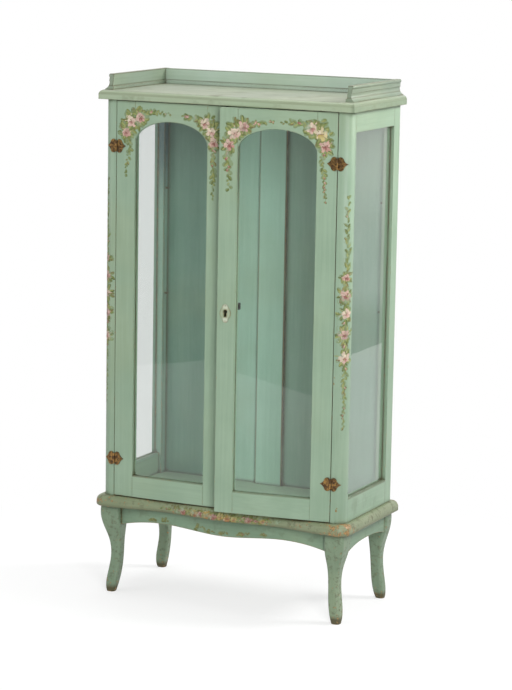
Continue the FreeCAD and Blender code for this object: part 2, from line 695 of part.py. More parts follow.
def hinge_leaf(side, knuckle_places, height):
    """Leaf with two round lobes and a pointed tip; side is 1 on the post and -1 on the door.

    The leaf on the post is bent round the corner.
    """
    root = KNUCKLE_RADIUS + LEAF_CLEARANCE

    def point(out, up):
        return (HINGE_X + side * out, -LEAF_THICKNESS, height + up)

    edges = [line(point(root, LEAF_ROOT_HALF_HEIGHT), point(root, -LEAF_ROOT_HALF_HEIGHT))]
    for sign in (1, -1):
        start = point(root, sign * LEAF_ROOT_HALF_HEIGHT)
        lobe = point(LEAF_LOBE_PLACE, sign * LEAF_HALF_HEIGHT)
        neck = point(LEAF_NECK_PLACE, sign * LEAF_NECK_HALF_HEIGHT)
        hollow = point(LEAF_HOLLOW_PLACE, sign * LEAF_HOLLOW_HALF_HEIGHT)
        edges += [arc(start, lobe, neck), arc(neck, hollow, point(LEAF_WIDTH, 0))]
    outline = Part.__sortEdges__(edges)
    if side == 1:
        leaf = extruded(outline, BACKWARD * (LEAF_THICKNESS + CASE_CORNER_RADIUS))
        leaf = leaf.common(post_face(LEAF_THICKNESS)).cut(post_face(0))
    else:
        leaf = extruded(outline, BACKWARD * LEAF_THICKNESS)
    length = KNUCKLE_LENGTH - KNUCKLE_CLEARANCE
    web_x = sorted((HINGE_X, HINGE_X + side * (root + LEAF_CLEARANCE)))
    for place in knuckle_places:
        low = height + place * KNUCKLE_LENGTH - length / 2
        centre = Vector(HINGE_X, HINGE_Y, low)
        web = block((web_x[0], -LEAF_THICKNESS, low), (web_x[1], 0, low + length))
        leaf = leaf.fuse(web).fuse(Part.makeCylinder(KNUCKLE_RADIUS, length, centre, UP))
        leaf = leaf.cut(Part.makeCylinder(PIN_RADIUS + PIN_CLEARANCE, length, centre, UP))
    return leaf.removeSplitter()


def hinge_pin(height):
    barrel = KNUCKLE_COUNT * KNUCKLE_LENGTH
    return Part.makeCylinder(PIN_RADIUS, barrel, Vector(HINGE_X, HINGE_Y, height - barrel / 2), UP)


# Lock on the right door, and its keep on the left door

def keyhole(front, back):
    """Round-headed key slot between two depths."""
    start = Vector(KEYHOLE_X, front, KEYHOLE_Z)
    head = Part.makeCylinder(KEYHOLE_RADIUS, back - front, start, BACKWARD)
    half = KEYHOLE_SLOT_WIDTH / 2
    slot_low = (KEYHOLE_X - half, front, KEYHOLE_Z - KEYHOLE_SLOT_DROP)
    return head.fuse(block(slot_low, (KEYHOLE_X + half, back, KEYHOLE_Z)))


def escutcheon():
    """Lobed key plate on the face of the right door."""
    middle = KEYHOLE_Z + (KEYHOLE_RADIUS - KEYHOLE_SLOT_DROP) / 2
    neck, shoulder = ESCUTCHEON_NECK_WIDTH / 2, ESCUTCHEON_BELLY_HEIGHT / 2

    def point(across, up):
        return (KEYHOLE_X + across, -ESCUTCHEON_THICKNESS, middle + up)

    outline = [
        arc(point(-neck, shoulder), point(0, ESCUTCHEON_HEIGHT / 2), point(neck, shoulder)),
        arc(point(neck, shoulder), point(ESCUTCHEON_WIDTH / 2, 0), point(neck, -shoulder)),
        arc(point(neck, -shoulder), point(0, -ESCUTCHEON_HEIGHT / 2), point(-neck, -shoulder)),
        arc(point(-neck, -shoulder), point(-ESCUTCHEON_WIDTH / 2, 0), point(-neck, shoulder)),
    ]
    return extruded(outline, BACKWARD * ESCUTCHEON_THICKNESS).cut(keyhole(-ESCUTCHEON_THICKNESS, 0))


# Corners of the drawn-back lock bolt
LOCK_BOLT_LOW = (LOCK_INNER, LOCK_BOLT_Y - LOCK_BOLT_THICKNESS / 2, LOCK_BOLT_Z - LOCK_BOLT_HEIGHT / 2)
LOCK_BOLT_HIGH = (LOCK_INNER + LOCK_BOLT_LENGTH, LOCK_BOLT_Y + LOCK_BOLT_THICKNESS / 2,
                  LOCK_BOLT_Z + LOCK_BOLT_HEIGHT / 2)
LOCK_BOLT_TRAVEL = LOCK_EDGE_GAP + MEETING_GAP + KEEP_EDGE_GAP + LOCK_BOLT_THICKNESS


def lock_case():
    """Rim lock: a plate on the back of the stile and a box that guides the bolt."""
    plate_low = (LOCK_INNER, DOOR_THICKNESS, LOCK_BOLT_Z - LOCK_PLATE_HEIGHT / 2)
    plate_high = (LOCK_INNER + LOCK_PLATE_WIDTH, DOOR_THICKNESS + LOCK_PLATE_THICKNESS,
                  LOCK_BOLT_Z + LOCK_PLATE_HEIGHT / 2)
    box_low = (LOCK_INNER, DOOR_THICKNESS, LOCK_BOLT_Z - LOCK_BOX_HEIGHT / 2)
    box_high = (LOCK_INNER + LOCK_BOX_WIDTH, DOOR_THICKNESS + LOCK_BOX_DEPTH,
                LOCK_BOLT_Z + LOCK_BOX_HEIGHT / 2)
    lock = block(plate_low, plate_high).fuse(block(box_low, box_high)).removeSplitter()
    return lock.cut(grown_block(LOCK_BOLT_LOW, LOCK_BOLT_HIGH, BOLT_CLEARANCE))


def lock_keep():
    """Staple on the back of the left door that takes the bolt."""
    x_high = -DOOR_INNER - KEEP_EDGE_GAP
    x_low = x_high - KEEP_LENGTH
    wall = BOLT_CLEARANCE + KEEP_WALL
    low = (x_low, DOOR_THICKNESS, LOCK_BOLT_LOW[2] - wall)
    staple = block(low, (x_high, LOCK_BOLT_HIGH[1] + wall, LOCK_BOLT_HIGH[2] + wall))
    slot_low, slot_high = (x_low, *LOCK_BOLT_LOW[1:]), (x_high, *LOCK_BOLT_HIGH[1:])
    return staple.cut(grown_block(slot_low, slot_high, BOLT_CLEARANCE))


# Edge bolts of the left door, drawn on the right side and mirrored

def edge_bolt_ends(upper):
    """Ends of a drawn-back bolt."""
    if upper:
        return DOOR_TOP - EDGE_BOLT_SETBACK - EDGE_BOLT_LENGTH, DOOR_TOP - EDGE_BOLT_SETBACK
    return DOOR_BOTTOM + EDGE_BOLT_SETBACK, DOOR_BOTTOM + EDGE_BOLT_SETBACK + EDGE_BOLT_LENGTH


def edge_plate_ends(upper):
    if upper:
        return DOOR_TOP - EDGE_PLATE_LENGTH, DOOR_TOP
    return DOOR_BOTTOM, DOOR_BOTTOM + EDGE_PLATE_LENGTH


def edge_block(x_range, half_depth, z_range):
    """Box in the meeting edge, centred on the bolt in depth."""
    low = (x_range[0], EDGE_BOLT_Y - half_depth, z_range[0])
    return block(low, (x_range[1], EDGE_BOLT_Y + half_depth, z_range[1]))


def edge_bolt(upper):
    """Square rod with a thumb piece that shows at the door's edge."""
    half = EDGE_BOLT_SIZE / 2
    ends = edge_bolt_ends(upper)
    middle = sum(ends) / 2
    rod = edge_block((EDGE_BOLT_X - half, EDGE_BOLT_X + half), half, ends)
    thumb_ends = (middle - THUMB_LENGTH / 2, middle + THUMB_LENGTH / 2)
    return rod.fuse(edge_block((DOOR_INNER, EDGE_BOLT_X), THUMB_WIDTH / 2, thumb_ends)).removeSplitter()


def edge_plate(upper):
    """Strip let into the edge over the bolt, slotted for the thumb piece."""
    depth = (DOOR_INNER, DOOR_INNER + EDGE_PLATE_THICKNESS)
    middle = sum(edge_bolt_ends(upper)) / 2
    places = (middle, middle + (EDGE_BOLT_TRAVEL if upper else -EDGE_BOLT_TRAVEL))
    room = THUMB_LENGTH / 2 + BOLT_CLEARANCE
    slot = edge_block(depth, THUMB_WIDTH / 2 + BOLT_CLEARANCE, (min(places) - room, max(places) + room))
    return edge_block(depth, EDGE_PLATE_WIDTH / 2, edge_plate_ends(upper)).cut(slot)


def edge_bolt_recess(upper):
    """Room for a plate and its bolt in the meeting stile."""
    ends = edge_plate_ends(upper)
    plate = edge_block((DOOR_INNER, DOOR_INNER + EDGE_PLATE_THICKNESS), EDGE_PLATE_WIDTH / 2, ends)
    return plate.fuse(edge_block((DOOR_INNER, EDGE_BOLT_X + EDGE_BOLT_ROOM), EDGE_BOLT_ROOM, ends))


def edge_bolt_socket(surface, direction):
    """Hole for the end of a left-door bolt, in the board above or below."""
    depth = EDGE_BOLT_TRAVEL + BOLT_CLEARANCE
    z_range = sorted((surface, surface + direction * depth))
    x_range = (EDGE_BOLT_X - EDGE_BOLT_ROOM, EDGE_BOLT_X + EDGE_BOLT_ROOM)
    return mirrored(edge_block(x_range, EDGE_BOLT_ROOM, z_range))


# Top

def cornice_nose(place, outer, inward):
    """Round of the top board's edge, from its upright part to its top."""
    short = 1 - DIAGONAL
    low = place(outer, CORNICE_TOP - CORNICE_ROUND_UP)
    middle = place(outer + inward * CORNICE_ROUND_IN * short, CORNICE_TOP - CORNICE_ROUND_UP * short)
    return low, middle, place(outer + inward * CORNICE_ROUND_IN, CORNICE_TOP)


def cornice_board():
    """Top board: two moulded lengths crossed, which mitres the moulding at the front corners."""
    def across(x, z):
        return (x, CORNICE_FRONT, z)

    def along(y, z):
        return (-CORNICE_SIDE, y, z)

    left = cornice_nose(across, -CORNICE_SIDE, 1)
    right = cornice_nose(across, CORNICE_SIDE, -1)
    left_low, right_low = across(-CORNICE_SIDE, CASE_TOP), across(CORNICE_SIDE, CASE_TOP)
    side_section = [
        line(left_low, left[0]), arc(*left), line(left[2], right[2]), arc(*reversed(right)),
        line(right[0], right_low), line(right_low, left_low),
    ]
    front = cornice_nose(along, CORNICE_FRONT, 1)
    front_low = along(CORNICE_FRONT, CASE_TOP)
    back_low, back_high = along(CORNICE_BACK, CASE_TOP), along(CORNICE_BACK, CORNICE_TOP)
    front_section = [
        line(front_low, front[0]), arc(*front), line(front[2], back_high),
        line(back_high, back_low), line(back_low, front_low),
    ]
    board = extruded(side_section, BACKWARD * (CORNICE_BACK - CORNICE_FRONT))
    board = board.common(extruded(front_section, SIDEWAYS * (2 * CORNICE_SIDE)))
    return board.cut(edge_bolt_socket(CASE_TOP, 1))


def gallery_section(place):
    """Section of the gallery: cove, groove, rail and bead outside, a low strip inside.

    place turns a distance out from the waist and a height above the board into a point.
    """
    groove_top = GALLERY_COVE_HEIGHT + GALLERY_GROOVE_HEIGHT
    bead_low = GALLERY_HEIGHT - GALLERY_BEAD_HEIGHT
    bead_middle = place(GALLERY_STEP + GALLERY_BEAD_PROUD, GALLERY_HEIGHT - GALLERY_BEAD_HEIGHT / 2)
    strip = -GALLERY_THICKNESS - GALLERY_STRIP_WIDTH
    cove_low = place(GALLERY_FLARE, GALLERY_FOOT_HEIGHT)
    cove_rise = GALLERY_COVE_HEIGHT - GALLERY_FOOT_HEIGHT
    cove_middle = place(GALLERY_FLARE * (1 - DIAGONAL), GALLERY_COVE_HEIGHT - cove_rise * DIAGONAL)
    cove_high = place(0, GALLERY_COVE_HEIGHT)
    straight_run = [
        place(GALLERY_STEP, GALLERY_HEIGHT),
        place(-GALLERY_THICKNESS, GALLERY_HEIGHT),
        place(-GALLERY_THICKNESS, GALLERY_STRIP_HEIGHT),
        place(strip, GALLERY_STRIP_HEIGHT - GALLERY_STRIP_SLOPE),
        place(strip, 0),
        place(GALLERY_FLARE, 0),
        cove_low,
    ]
    rail_run = [
        cove_high,
        place(0, groove_top),
        place(GALLERY_STEP, groove_top),
        place(GALLERY_STEP, bead_low),
    ]
    edges = [arc(cove_low, cove_middle, cove_high)]
    edges += [line(start, end) for start, end in zip(rail_run, rail_run[1:])]
    edges.append(arc(rail_run[-1], bead_middle, straight_run[0]))
    edges += [line(start, end) for start, end in zip(straight_run, straight_run[1:])]
    return edges


def gallery_side():
    """Right rail of the gallery, ramped at its front end."""
    front = CORNICE_FRONT + GALLERY_FRONT_SETBACK
    section = gallery_section(lambda out, up: (GALLERY_WAIST + out, front, CORNICE_TOP + up))
    rail = extruded(section, BACKWARD * (GALLERY_END - front))
    inner = GALLERY_WAIST - GALLERY_THICKNESS - GALLERY_STRIP_WIDTH
    top = CORNICE_TOP + GALLERY_HEIGHT
    ramp_end = front + GALLERY_FRONT_RAMP
    ramp = polygon([(inner, front, CORNICE_TOP), (inner, ramp_end, top), (inner, front, top)])
    width = GALLERY_WAIST + GALLERY_FLARE - inner
    return rail.cut(extruded(ramp, SIDEWAYS * width))


def gallery_back(side_rail_right):
    """Back rail, coped between the side rails."""
    reach = GALLERY_WAIST - GALLERY_THICKNESS
    waist = GALLERY_END - GALLERY_FLARE
    section = gallery_section(lambda out, up: (-reach, waist + out, CORNICE_TOP + up))
    rail = extruded(section, SIDEWAYS * (2 * reach))
    return rail.cut(side_rail_right).cut(mirrored(side_rail_right))


def add_stand(pieces):
    both_sides(pieces, "leg_front", right_leg(True))
    both_sides(pieces, "leg_rear", right_leg(False))
    pieces["apron_front"] = front_apron()
    pieces["apron_back"] = back_apron()
    both_sides(pieces, "apron_side", right_apron())
    pieces["base_board"] = base_board()


def add_case(pieces):
    both_sides(pieces, "post_front", front_post())
    both_sides(pieces, "post_rear", rear_post())
    tenons = side_tenons()
    both_sides(pieces, "side_rail_bottom", side_rail(BASE_TOP, SIDE_OPEN_BOTTOM, tenons[:2]))
    both_sides(pieces, "side_rail_top", side_rail(SIDE_OPEN_TOP, CASE_TOP, tenons[2:]))
    both_sides(pieces, "side_glass", side_glass())
    both_sides(pieces, "side_beads", side_beads())
    both_sides(pieces, "back_panel", back_panel())
    pieces["back_muntin"] = back_muntin()
    pieces["back_top_rail"] = back_top_rail()
    pieces["floor_board"] = floor_board()
    pieces["top_stop_rail"] = top_stop_rail()
    pegs = right_pegs()
    pieces["shelf_pegs"] = group(pegs + [mirrored(peg) for peg in pegs])


def add_top(pieces):
    pieces["cornice_board"] = cornice_board()
    both_sides(pieces, "gallery_side", gallery_side())
    pieces["gallery_back"] = gallery_back(pieces["gallery_side_right"])


def add_doors(pieces):
    meeting_stile = door_stile(DOOR_INNER, OPEN_INNER)
    edge_recess = edge_bolt_recess(True).fuse(edge_bolt_recess(False))
    pieces["door_meeting_stile_right"] = meeting_stile.cut(keyhole(0, DOOR_THICKNESS))
    pieces["door_meeting_stile_left"] = mirrored(meeting_stile.cut(edge_recess))
    both_sides(pieces, "door_hinge_stile", door_stile(OPEN_OUTER, DOOR_OUTER))
    both_sides(pieces, "door_bottom_rail", door_bottom_rail())
    both_sides(pieces, "door_arch_rail", door_arch_rail())
    both_sides(pieces, "door_glass", door_glass())
    both_sides(pieces, "door_beads", door_beads())


def hinge_pieces(heights):
    """Door leaves, post leaves and pins of one side, drawn on the right."""
    return {
        "hinge_door_leaves": group([hinge_leaf(-1, (0,), height) for height in heights]),
        "hinge_post_leaves": group([hinge_leaf(1, (-1, 1), height) for height in heights]),
        "hinge_pins": group([hinge_pin(height) for height in heights]),
    }


def add_fittings(pieces):
    for name, shape in hinge_pieces(HINGE_HEIGHTS).items():
        pieces[name + "_right"] = shape
    for name, shape in hinge_pieces(LEFT_HINGE_HEIGHTS).items():
        pieces[name + "_left"] = mirrored(shape)
    pieces["escutcheon"] = escutcheon()
    pieces["lock_case"] = lock_case()
    pieces["lock_bolt"] = block(LOCK_BOLT_LOW, LOCK_BOLT_HIGH)
    pieces["lock_keep"] = lock_keep()
    pieces["edge_bolt_top"] = mirrored(edge_bolt(True))
    pieces["edge_bolt_bottom"] = mirrored(edge_bolt(False))
    pieces["edge_bolt_plates"] = mirrored(group([edge_plate(True), edge_plate(False)]))


RIGHT_DOOR_PIECES = (
    "door_meeting_stile_right", "door_hinge_stile_right", "door_bottom_rail_right", "door_arch_rail_right",
    "door_glass_right", "door_beads_right", "hinge_door_leaves_right", "escutcheon", "lock_case", "lock_bolt",
)


def all_pieces():
    """Every piece by its name, with the right door ajar and the whole centred on its depth."""
    pieces = {}
    for add in (add_stand, add_case, add_top, add_doors, add_fittings):
        add(pieces)
    for name in RIGHT_DOOR_PIECES:
        pieces[name].rotate(Vector(HINGE_X, HINGE_Y, 0), UP, RIGHT_DOOR_AJAR)
    depth_centre = group(list(pieces.values())).BoundBox.Center.y
    for shape in pieces.values():
        shape.translate(BACKWARD * -depth_centre)
    return pieces, depth_centre


PIECES, DEPTH_CENTRE = all_pieces()
os.makedirs("parts", exist_ok=True)
for piece_name, piece_shape in PIECES.items():
    piece_shape.exportStep("parts/" + piece_name + ".step")
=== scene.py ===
import json
import math
import random

import bmesh
import bpy
from mathutils import Matrix, Quaternion, Vector
from mathutils.bvhtree import BVHTree


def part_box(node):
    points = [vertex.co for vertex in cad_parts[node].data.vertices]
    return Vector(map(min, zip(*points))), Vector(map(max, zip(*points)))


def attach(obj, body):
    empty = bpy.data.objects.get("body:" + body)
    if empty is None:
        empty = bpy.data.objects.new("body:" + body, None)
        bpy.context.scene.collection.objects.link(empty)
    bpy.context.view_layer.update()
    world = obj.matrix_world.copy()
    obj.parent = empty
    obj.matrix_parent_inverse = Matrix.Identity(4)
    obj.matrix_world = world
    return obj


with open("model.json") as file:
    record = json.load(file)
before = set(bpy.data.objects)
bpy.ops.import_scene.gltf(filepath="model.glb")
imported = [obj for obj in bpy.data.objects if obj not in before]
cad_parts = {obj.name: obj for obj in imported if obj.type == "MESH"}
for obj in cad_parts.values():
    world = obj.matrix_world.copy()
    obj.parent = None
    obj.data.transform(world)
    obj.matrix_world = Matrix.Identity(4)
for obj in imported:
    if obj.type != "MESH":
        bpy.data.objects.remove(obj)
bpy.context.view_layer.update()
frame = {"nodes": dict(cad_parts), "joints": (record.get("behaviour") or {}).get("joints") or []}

MM = 0.001
WHITE = (1.0, 1.0, 1.0, 1.0)
nodes = frame["nodes"]
joints = {joint["name"]: joint for joint in frame["joints"]}
# Every random draw comes from this one seed, so each run gives the same strokes
brush = random.Random(41)


def srgb(red, green, blue):
    """Colour written as screen values, turned to the linear values that shaders take."""
    def linear(value):
        value = value / 255
        return value / 12.92 if value <= 0.04045 else ((value + 0.055) / 1.055) ** 2.4
    return (linear(red), linear(green), linear(blue), 1.0)


# Finishes

def add_node(tree, kind, **settings):
    """New shader node: plain settings by name, socket values by the socket's name or place."""
    made = tree.nodes.new("ShaderNode" + kind)
    sockets = settings.pop("sockets", {})
    for name, value in settings.items():
        setattr(made, name, value)
    for name, value in sockets.items():
        if isinstance(value, bpy.types.NodeSocket):
            tree.links.new(value, made.inputs[name])
        else:
            made.inputs[name].default_value = value
    return made


def math_node(tree, operation, first, second=0.0, third=0.0, clamp=False):
    made = add_node(tree, "Math", operation=operation, use_clamp=clamp,
                    sockets={0: first, 1: second, 2: third})
    return made.outputs[0]


def times(tree, first, second):
    return math_node(tree, "MULTIPLY", first, second)


def larger(tree, first, second):
    return math_node(tree, "MAXIMUM", first, second)


def mix_colour(tree, amount, below, above):
    made = add_node(tree, "Mix", data_type="RGBA", sockets={0: amount, 6: below, 7: above})
    return made.outputs[2]


def smooth_step(tree, value, low, high):
    """0 below low, 1 above high, eased between."""
    made = add_node(tree, "MapRange", interpolation_type="SMOOTHSTEP",
                    sockets={0: value, 1: low, 2: high})
    return made.outputs[0]


def falling_step(tree, value, low, high):
    """1 below low, 0 above high, eased between."""
    return math_node(tree, "SUBTRACT", 1.0, smooth_step(tree, value, low, high))


def distance_from(tree, value, centre):
    return math_node(tree, "ABSOLUTE", math_node(tree, "SUBTRACT", value, centre))


def object_place(tree):
    """Place on the piece, in metres."""
    return add_node(tree, "TexCoord").outputs["Object"]


def noise(tree, vector, scale, detail, roughness=0.5):
    made = add_node(tree, "TexNoise", sockets={"Vector": vector, "Scale": scale, "Detail": detail,
                                               "Roughness": roughness})
    return made.outputs[0]


def new_group(name, inputs, outputs):
    """Shader node group with named sockets: returns the tree, its input node and its output node."""
    tree = bpy.data.node_groups.new(name, "ShaderNodeTree")
    for socket_name, kind, value in inputs:
        socket = tree.interface.new_socket(socket_name, in_out="INPUT", socket_type="NodeSocket" + kind)
        socket.default_value = value
    for socket_name, kind in outputs:
        tree.interface.new_socket(socket_name, in_out="OUTPUT", socket_type="NodeSocket" + kind)
    return tree, tree.nodes.new("NodeGroupInput"), tree.nodes.new("NodeGroupOutput")


def make_old_paint():
    """Brushed paint that has aged: streaks along the wood, dirt and painted shade in the corners, bare wood
    on the edges.
    """
    tree, given, result = new_group(
        "old_paint",
        [("Paint", "Color", WHITE), ("Pale Paint", "Color", WHITE), ("Dirt and Shade", "Color", WHITE),
         ("Bare Wood", "Color", WHITE), ("Stretch", "Vector", (1.0, 1.0, 1.0)), ("Wear", "Float", 0.3),
         ("Grime and Shade", "Float", 0.6), ("Soil", "Float", 0.5), ("Bare", "Float", 0.0), ("Stain and Shade", "Float", 0.0)],
        [("Color", "Color"), ("Roughness", "Float"), ("Height", "Float")])
    place = object_place(tree)
    stretched = add_node(tree, "VectorMath", operation="MULTIPLY",
                         sockets={0: place, 1: given.outputs["Stretch"]}).outputs[0]
    streaks = noise(tree, stretched, scale=1.0, detail=3.0, roughness=0.6)
    clouds = noise(tree, place, scale=9.0, detail=4.0, roughness=0.55)
    fine = noise(tree, place, scale=420.0, detail=2.0)
    chips = noise(tree, place, scale=120.0, detail=5.0, roughness=0.7)

    # Paint: paler in streaks and clouds, yellowed in broad patches
    tone = math_node(tree, "MULTIPLY_ADD", streaks, 0.45, times(tree, clouds, 0.6))
    tone = smooth_step(tree, tone, 0.36, 0.72)
    colour = mix_colour(tree, tone, given.outputs["Paint"], given.outputs["Pale Paint"])
    yellowed = smooth_step(tree, noise(tree, place, scale=5.0, detail=4.0), 0.42, 0.7)
    colour = mix_colour(tree, times(tree, yellowed, 0.22), colour, YELLOWED)

    # Dirt and painted shade: both in recesses, dirt on soiled edges, and stains and painted shade lines
    # from the stain input
    normal = add_node(tree, "NewGeometry").outputs["Normal"]
    rounded = add_node(tree, "Bevel", samples=6, sockets={"Radius": WORN_EDGE}).outputs[0]
    facing = add_node(tree, "VectorMath", operation="DOT_PRODUCT",
                      sockets={0: normal, 1: rounded}).outputs["Value"]
    edge = smooth_step(tree, math_node(tree, "SUBTRACT", 1.0, facing), 0.015, 0.16)
    # Painted shade: darker where other geometry is near, taken as dirt and shade in recesses
    open_air = add_node(tree, "AmbientOcclusion", samples=6,
                        sockets={"Distance": RECESS_REACH}).outputs["AO"]
    recess_dirt_and_shade = smooth_step(tree, math_node(tree, "SUBTRACT", 1.0, open_air), 0.2, 0.62)
    dirt_and_shade = times(tree, recess_dirt_and_shade, given.outputs["Grime and Shade"])
    soiled_edge = times(tree, edge, smooth_step(tree, clouds, 0.3, 0.56))
    soiled_edge = times(tree, soiled_edge, given.outputs["Soil"])
    dirt_and_shade = larger(tree, dirt_and_shade, soiled_edge)
    dirt_and_shade = larger(tree, dirt_and_shade, given.outputs["Stain and Shade"])
    uneven = math_node(tree, "MULTIPLY_ADD", clouds, 1.2, 0.4)
    dirt_and_shade = math_node(tree, "MULTIPLY", dirt_and_shade, uneven, clamp=True)
    colour = mix_colour(tree, dirt_and_shade, colour, given.outputs["Dirt and Shade"])

    # Wear: wood that shows on rubbed edges and where the paint has flaked
    rubbed = math_node(tree, "MULTIPLY_ADD", edge, 0.22, times(tree, chips, 0.62))
    rubbed = math_node(tree, "MULTIPLY_ADD", given.outputs["Wear"], 0.3, rubbed)
    rubbed = times(tree, smooth_step(tree, rubbed, 0.61, 0.68), edge)
    flaked = math_node(tree, "MULTIPLY_ADD", chips, 0.9, given.outputs["Bare"])
    worn = larger(tree, rubbed, smooth_step(tree, flaked, 0.93, 0.99))
    grain = smooth_step(tree, fine, 0.35, 0.7)
    wood = mix_colour(tree, grain, given.outputs["Bare Wood"], given.outputs["Dirt and Shade"])
    colour = mix_colour(tree, times(tree, worn, 0.9), colour, wood)

    rough = math_node(tree, "MULTIPLY_ADD", tone, -0.08, 0.48)
    rough = math_node(tree, "MULTIPLY_ADD", dirt_and_shade, 0.2, rough)
    height = math_node(tree, "MULTIPLY_ADD", streaks, 0.8, times(tree, fine, 0.2))
    height = math_node(tree, "MULTIPLY_ADD", worn, -0.5, height)
    tree.links.new(colour, result.inputs["Color"])
    tree.links.new(rough, result.inputs["Roughness"])
    tree.links.new(height, result.inputs["Height"])
    return tree


def new_material(name):
    """Empty material with one principled shader: returns the material, its tree and the shader."""
    material = bpy.data.materials.new(name)
    material.use_nodes = True
    tree = material.node_tree
    return material, tree, tree.nodes["Principled BSDF"]


def bump_into(tree, shader, height, strength, distance):
    bump = add_node(tree, "Bump", sockets={"Strength": strength, "Distance": distance, "Height": height})
    tree.links.new(bump.outputs[0], shader.inputs["Normal"])


# Scale of the streaks with the run of the brush and across it
ALONG, ACROSS = 7.0, 190.0
ALONG_X, ALONG_Y, ALONG_Z = (ALONG, ACROSS, ACROSS), (ACROSS, ALONG, ACROSS), (ACROSS, ACROSS, ALONG)
WORN_EDGE, RECESS_REACH = 3.6 * MM, 11.0 * MM
SAGE, PALE_SAGE = srgb(147, 173, 147), srgb(160, 185, 159)
SHADE, PALE_SHADE = srgb(140, 172, 152), srgb(154, 184, 165)
# Painted light and shade on the back: lit tones for the middle, shaded tones for the outer side and high up
LIT_BACK, PALER_LIT_BACK = srgb(163, 200, 179), srgb(175, 210, 190)
SHADED_BACK, PALE_SHADED_BACK = srgb(116, 156, 136), srgb(130, 168, 148)
DEEP_SHADED_BACK, PALE_DEEP_SHADED_BACK = srgb(96, 133, 114), srgb(109, 145, 126)
# Painted shade for the inner side of the rear post on the left
SHADED_POST, PALE_SHADED_POST = srgb(78, 104, 106), srgb(92, 118, 118)
# Legs and aprons: darker than the case's paint, as painted shade of the low parts
SHADED_STAND, PALE_SHADED_STAND = srgb(121, 144, 117), srgb(135, 156, 129)
SHADED_APRON, PALE_SHADED_APRON = srgb(121, 148, 121), srgb(134, 160, 133)
BASE, PALE_BASE = srgb(130, 142, 109), srgb(145, 155, 122)
FLOOR, PALE_FLOOR = srgb(165, 187, 160), srgb(178, 197, 171)
# Painted light on the right of the case's floor
LIT_FLOOR, PALE_LIT_FLOOR = srgb(184, 205, 178), srgb(196, 214, 188)
# Key plate tones; the palest is rubbed paint and a painted highlight
PLATE, PALE_PLATE, RUBBED_AND_HIGHLIT_PLATE = srgb(146, 164, 128), srgb(188, 200, 174), srgb(222, 226, 208)
TOP, PALE_TOP = srgb(145, 154, 136), srgb(156, 163, 147)
NOSE, PALE_NOSE = srgb(169, 187, 159), srgb(180, 196, 169)
# Painted shade for the right end of the top board's nose
SHADED_SIDE_NOSE, PALE_SHADED_SIDE_NOSE = srgb(137, 155, 131), srgb(149, 166, 142)
# Painted light and shade on the gallery: its back board lighter, its side rails darker
LIT_BACK_GALLERY, PALE_LIT_BACK_GALLERY = srgb(181, 203, 186), srgb(193, 212, 197)
SHADED_GALLERY, PALE_SHADED_GALLERY = srgb(120, 137, 119), srgb(135, 150, 132)
# The first colour is dirt, and is also used for painted shade in recesses and in lines
DIRT_AND_SHADE, OLIVE_DIRT = srgb(88, 84, 56), srgb(112, 108, 66)
OCHRE, YELLOWED = srgb(192, 142, 84), srgb(164, 174, 132)
OLD_PAINT = make_old_paint()

# Where the paint of a piece changes, in places as painted light or shade: the start and the end of the
# change, in metres
BASE_CORNERS_X = (0.23, 0.30)
BASE_FRONT_Y = (-0.12, -0.06)
LOW_ON_LEG_Z = (0.01, 0.06)
FOOT_TIP_Z = (0.005, 0.022)
PANEL_SHADE_TOP_Z = (0.82, 1.04)
PANEL_LIT_INNER_X = (-0.19, -0.08)
NOSE_SHADE_END_X = (0.292, 0.302)
LOW_ON_SIDE_Z = (0.25, 0.34)
POST_SHADE_TOP_Z = (0.82, 1.0)
FLOOR_LIT_RIGHT_X = (-0.05, 0.08)
# Depth below the top board's face of the nose's painted shade line, and height of the groove inside the
# gallery, where painted shade runs too
NOSE_SHADE_DEPTH, GALLERY_GROOVE = 6.5 * MM, 8.6 * MM


def speckles(tree, scale, strength):
    """Scattered stains."""
    spots = noise(tree, object_place(tree), scale, detail=6.0, roughness=0.65)
    return times(tree, smooth_step(tree, spots, 0.5, 0.68), strength)


def base_stain(tree, place):
    """Stains all over the base board, and dirt along its lower edge."""
    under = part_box("base_board")[0].z
    edge = falling_step(tree, place["Z"], under + 3 * MM, under + 9 * MM)
    stains = speckles(tree, scale=70.0, strength=0.65)
    return larger(tree, stains, times(tree, edge, 0.4))


def stand_stain(tree, place):
    """Faint stains all over the aprons."""
    return speckles(tree, scale=45.0, strength=0.25)


def corner_flakes(tree, place):
    """Flaked paint on the nose of the base board, most of it at the two front corners."""
    corner = smooth_step(tree, math_node(tree, "ABSOLUTE", place["X"]), *BASE_CORNERS_X)
    front = falling_step(tree, place["Y"], *BASE_FRONT_Y)
    patches = smooth_step(tree, noise(tree, object_place(tree), scale=40.0, detail=2.0), 0.46, 0.6)
    corner = times(tree, times(tree, corner, front), patches)
    front = math_node(tree, "MULTIPLY_ADD", front, 0.055, 0.35)
    return math_node(tree, "MULTIPLY_ADD", corner, 0.17, front)


def leg_flakes(tree, place):
    """Small flaked spots on the legs, more of them low down."""
    low = falling_step(tree, place["Z"], *LOW_ON_LEG_Z)
    return math_node(tree, "MULTIPLY_ADD", low, 0.05, 0.375)


def left_panel_light_and_shade(tree, place):
    """Painted light and shade on the left back panel: pale towards the middle as painted light, darker at
    its outer side and darker still high up there as painted shade.
    """
    high_up = smooth_step(tree, place["Z"], *PANEL_SHADE_TOP_Z)
    inward = smooth_step(tree, place["X"], *PANEL_LIT_INNER_X)
    return tuple(mix_colour(tree, inward, mix_colour(tree, high_up, shaded_tone, dark), lit_tone)
                 for shaded_tone, dark, lit_tone in ((SHADED_BACK, DEEP_SHADED_BACK, LIT_BACK),
                                           (PALE_SHADED_BACK, PALE_DEEP_SHADED_BACK, PALER_LIT_BACK)))


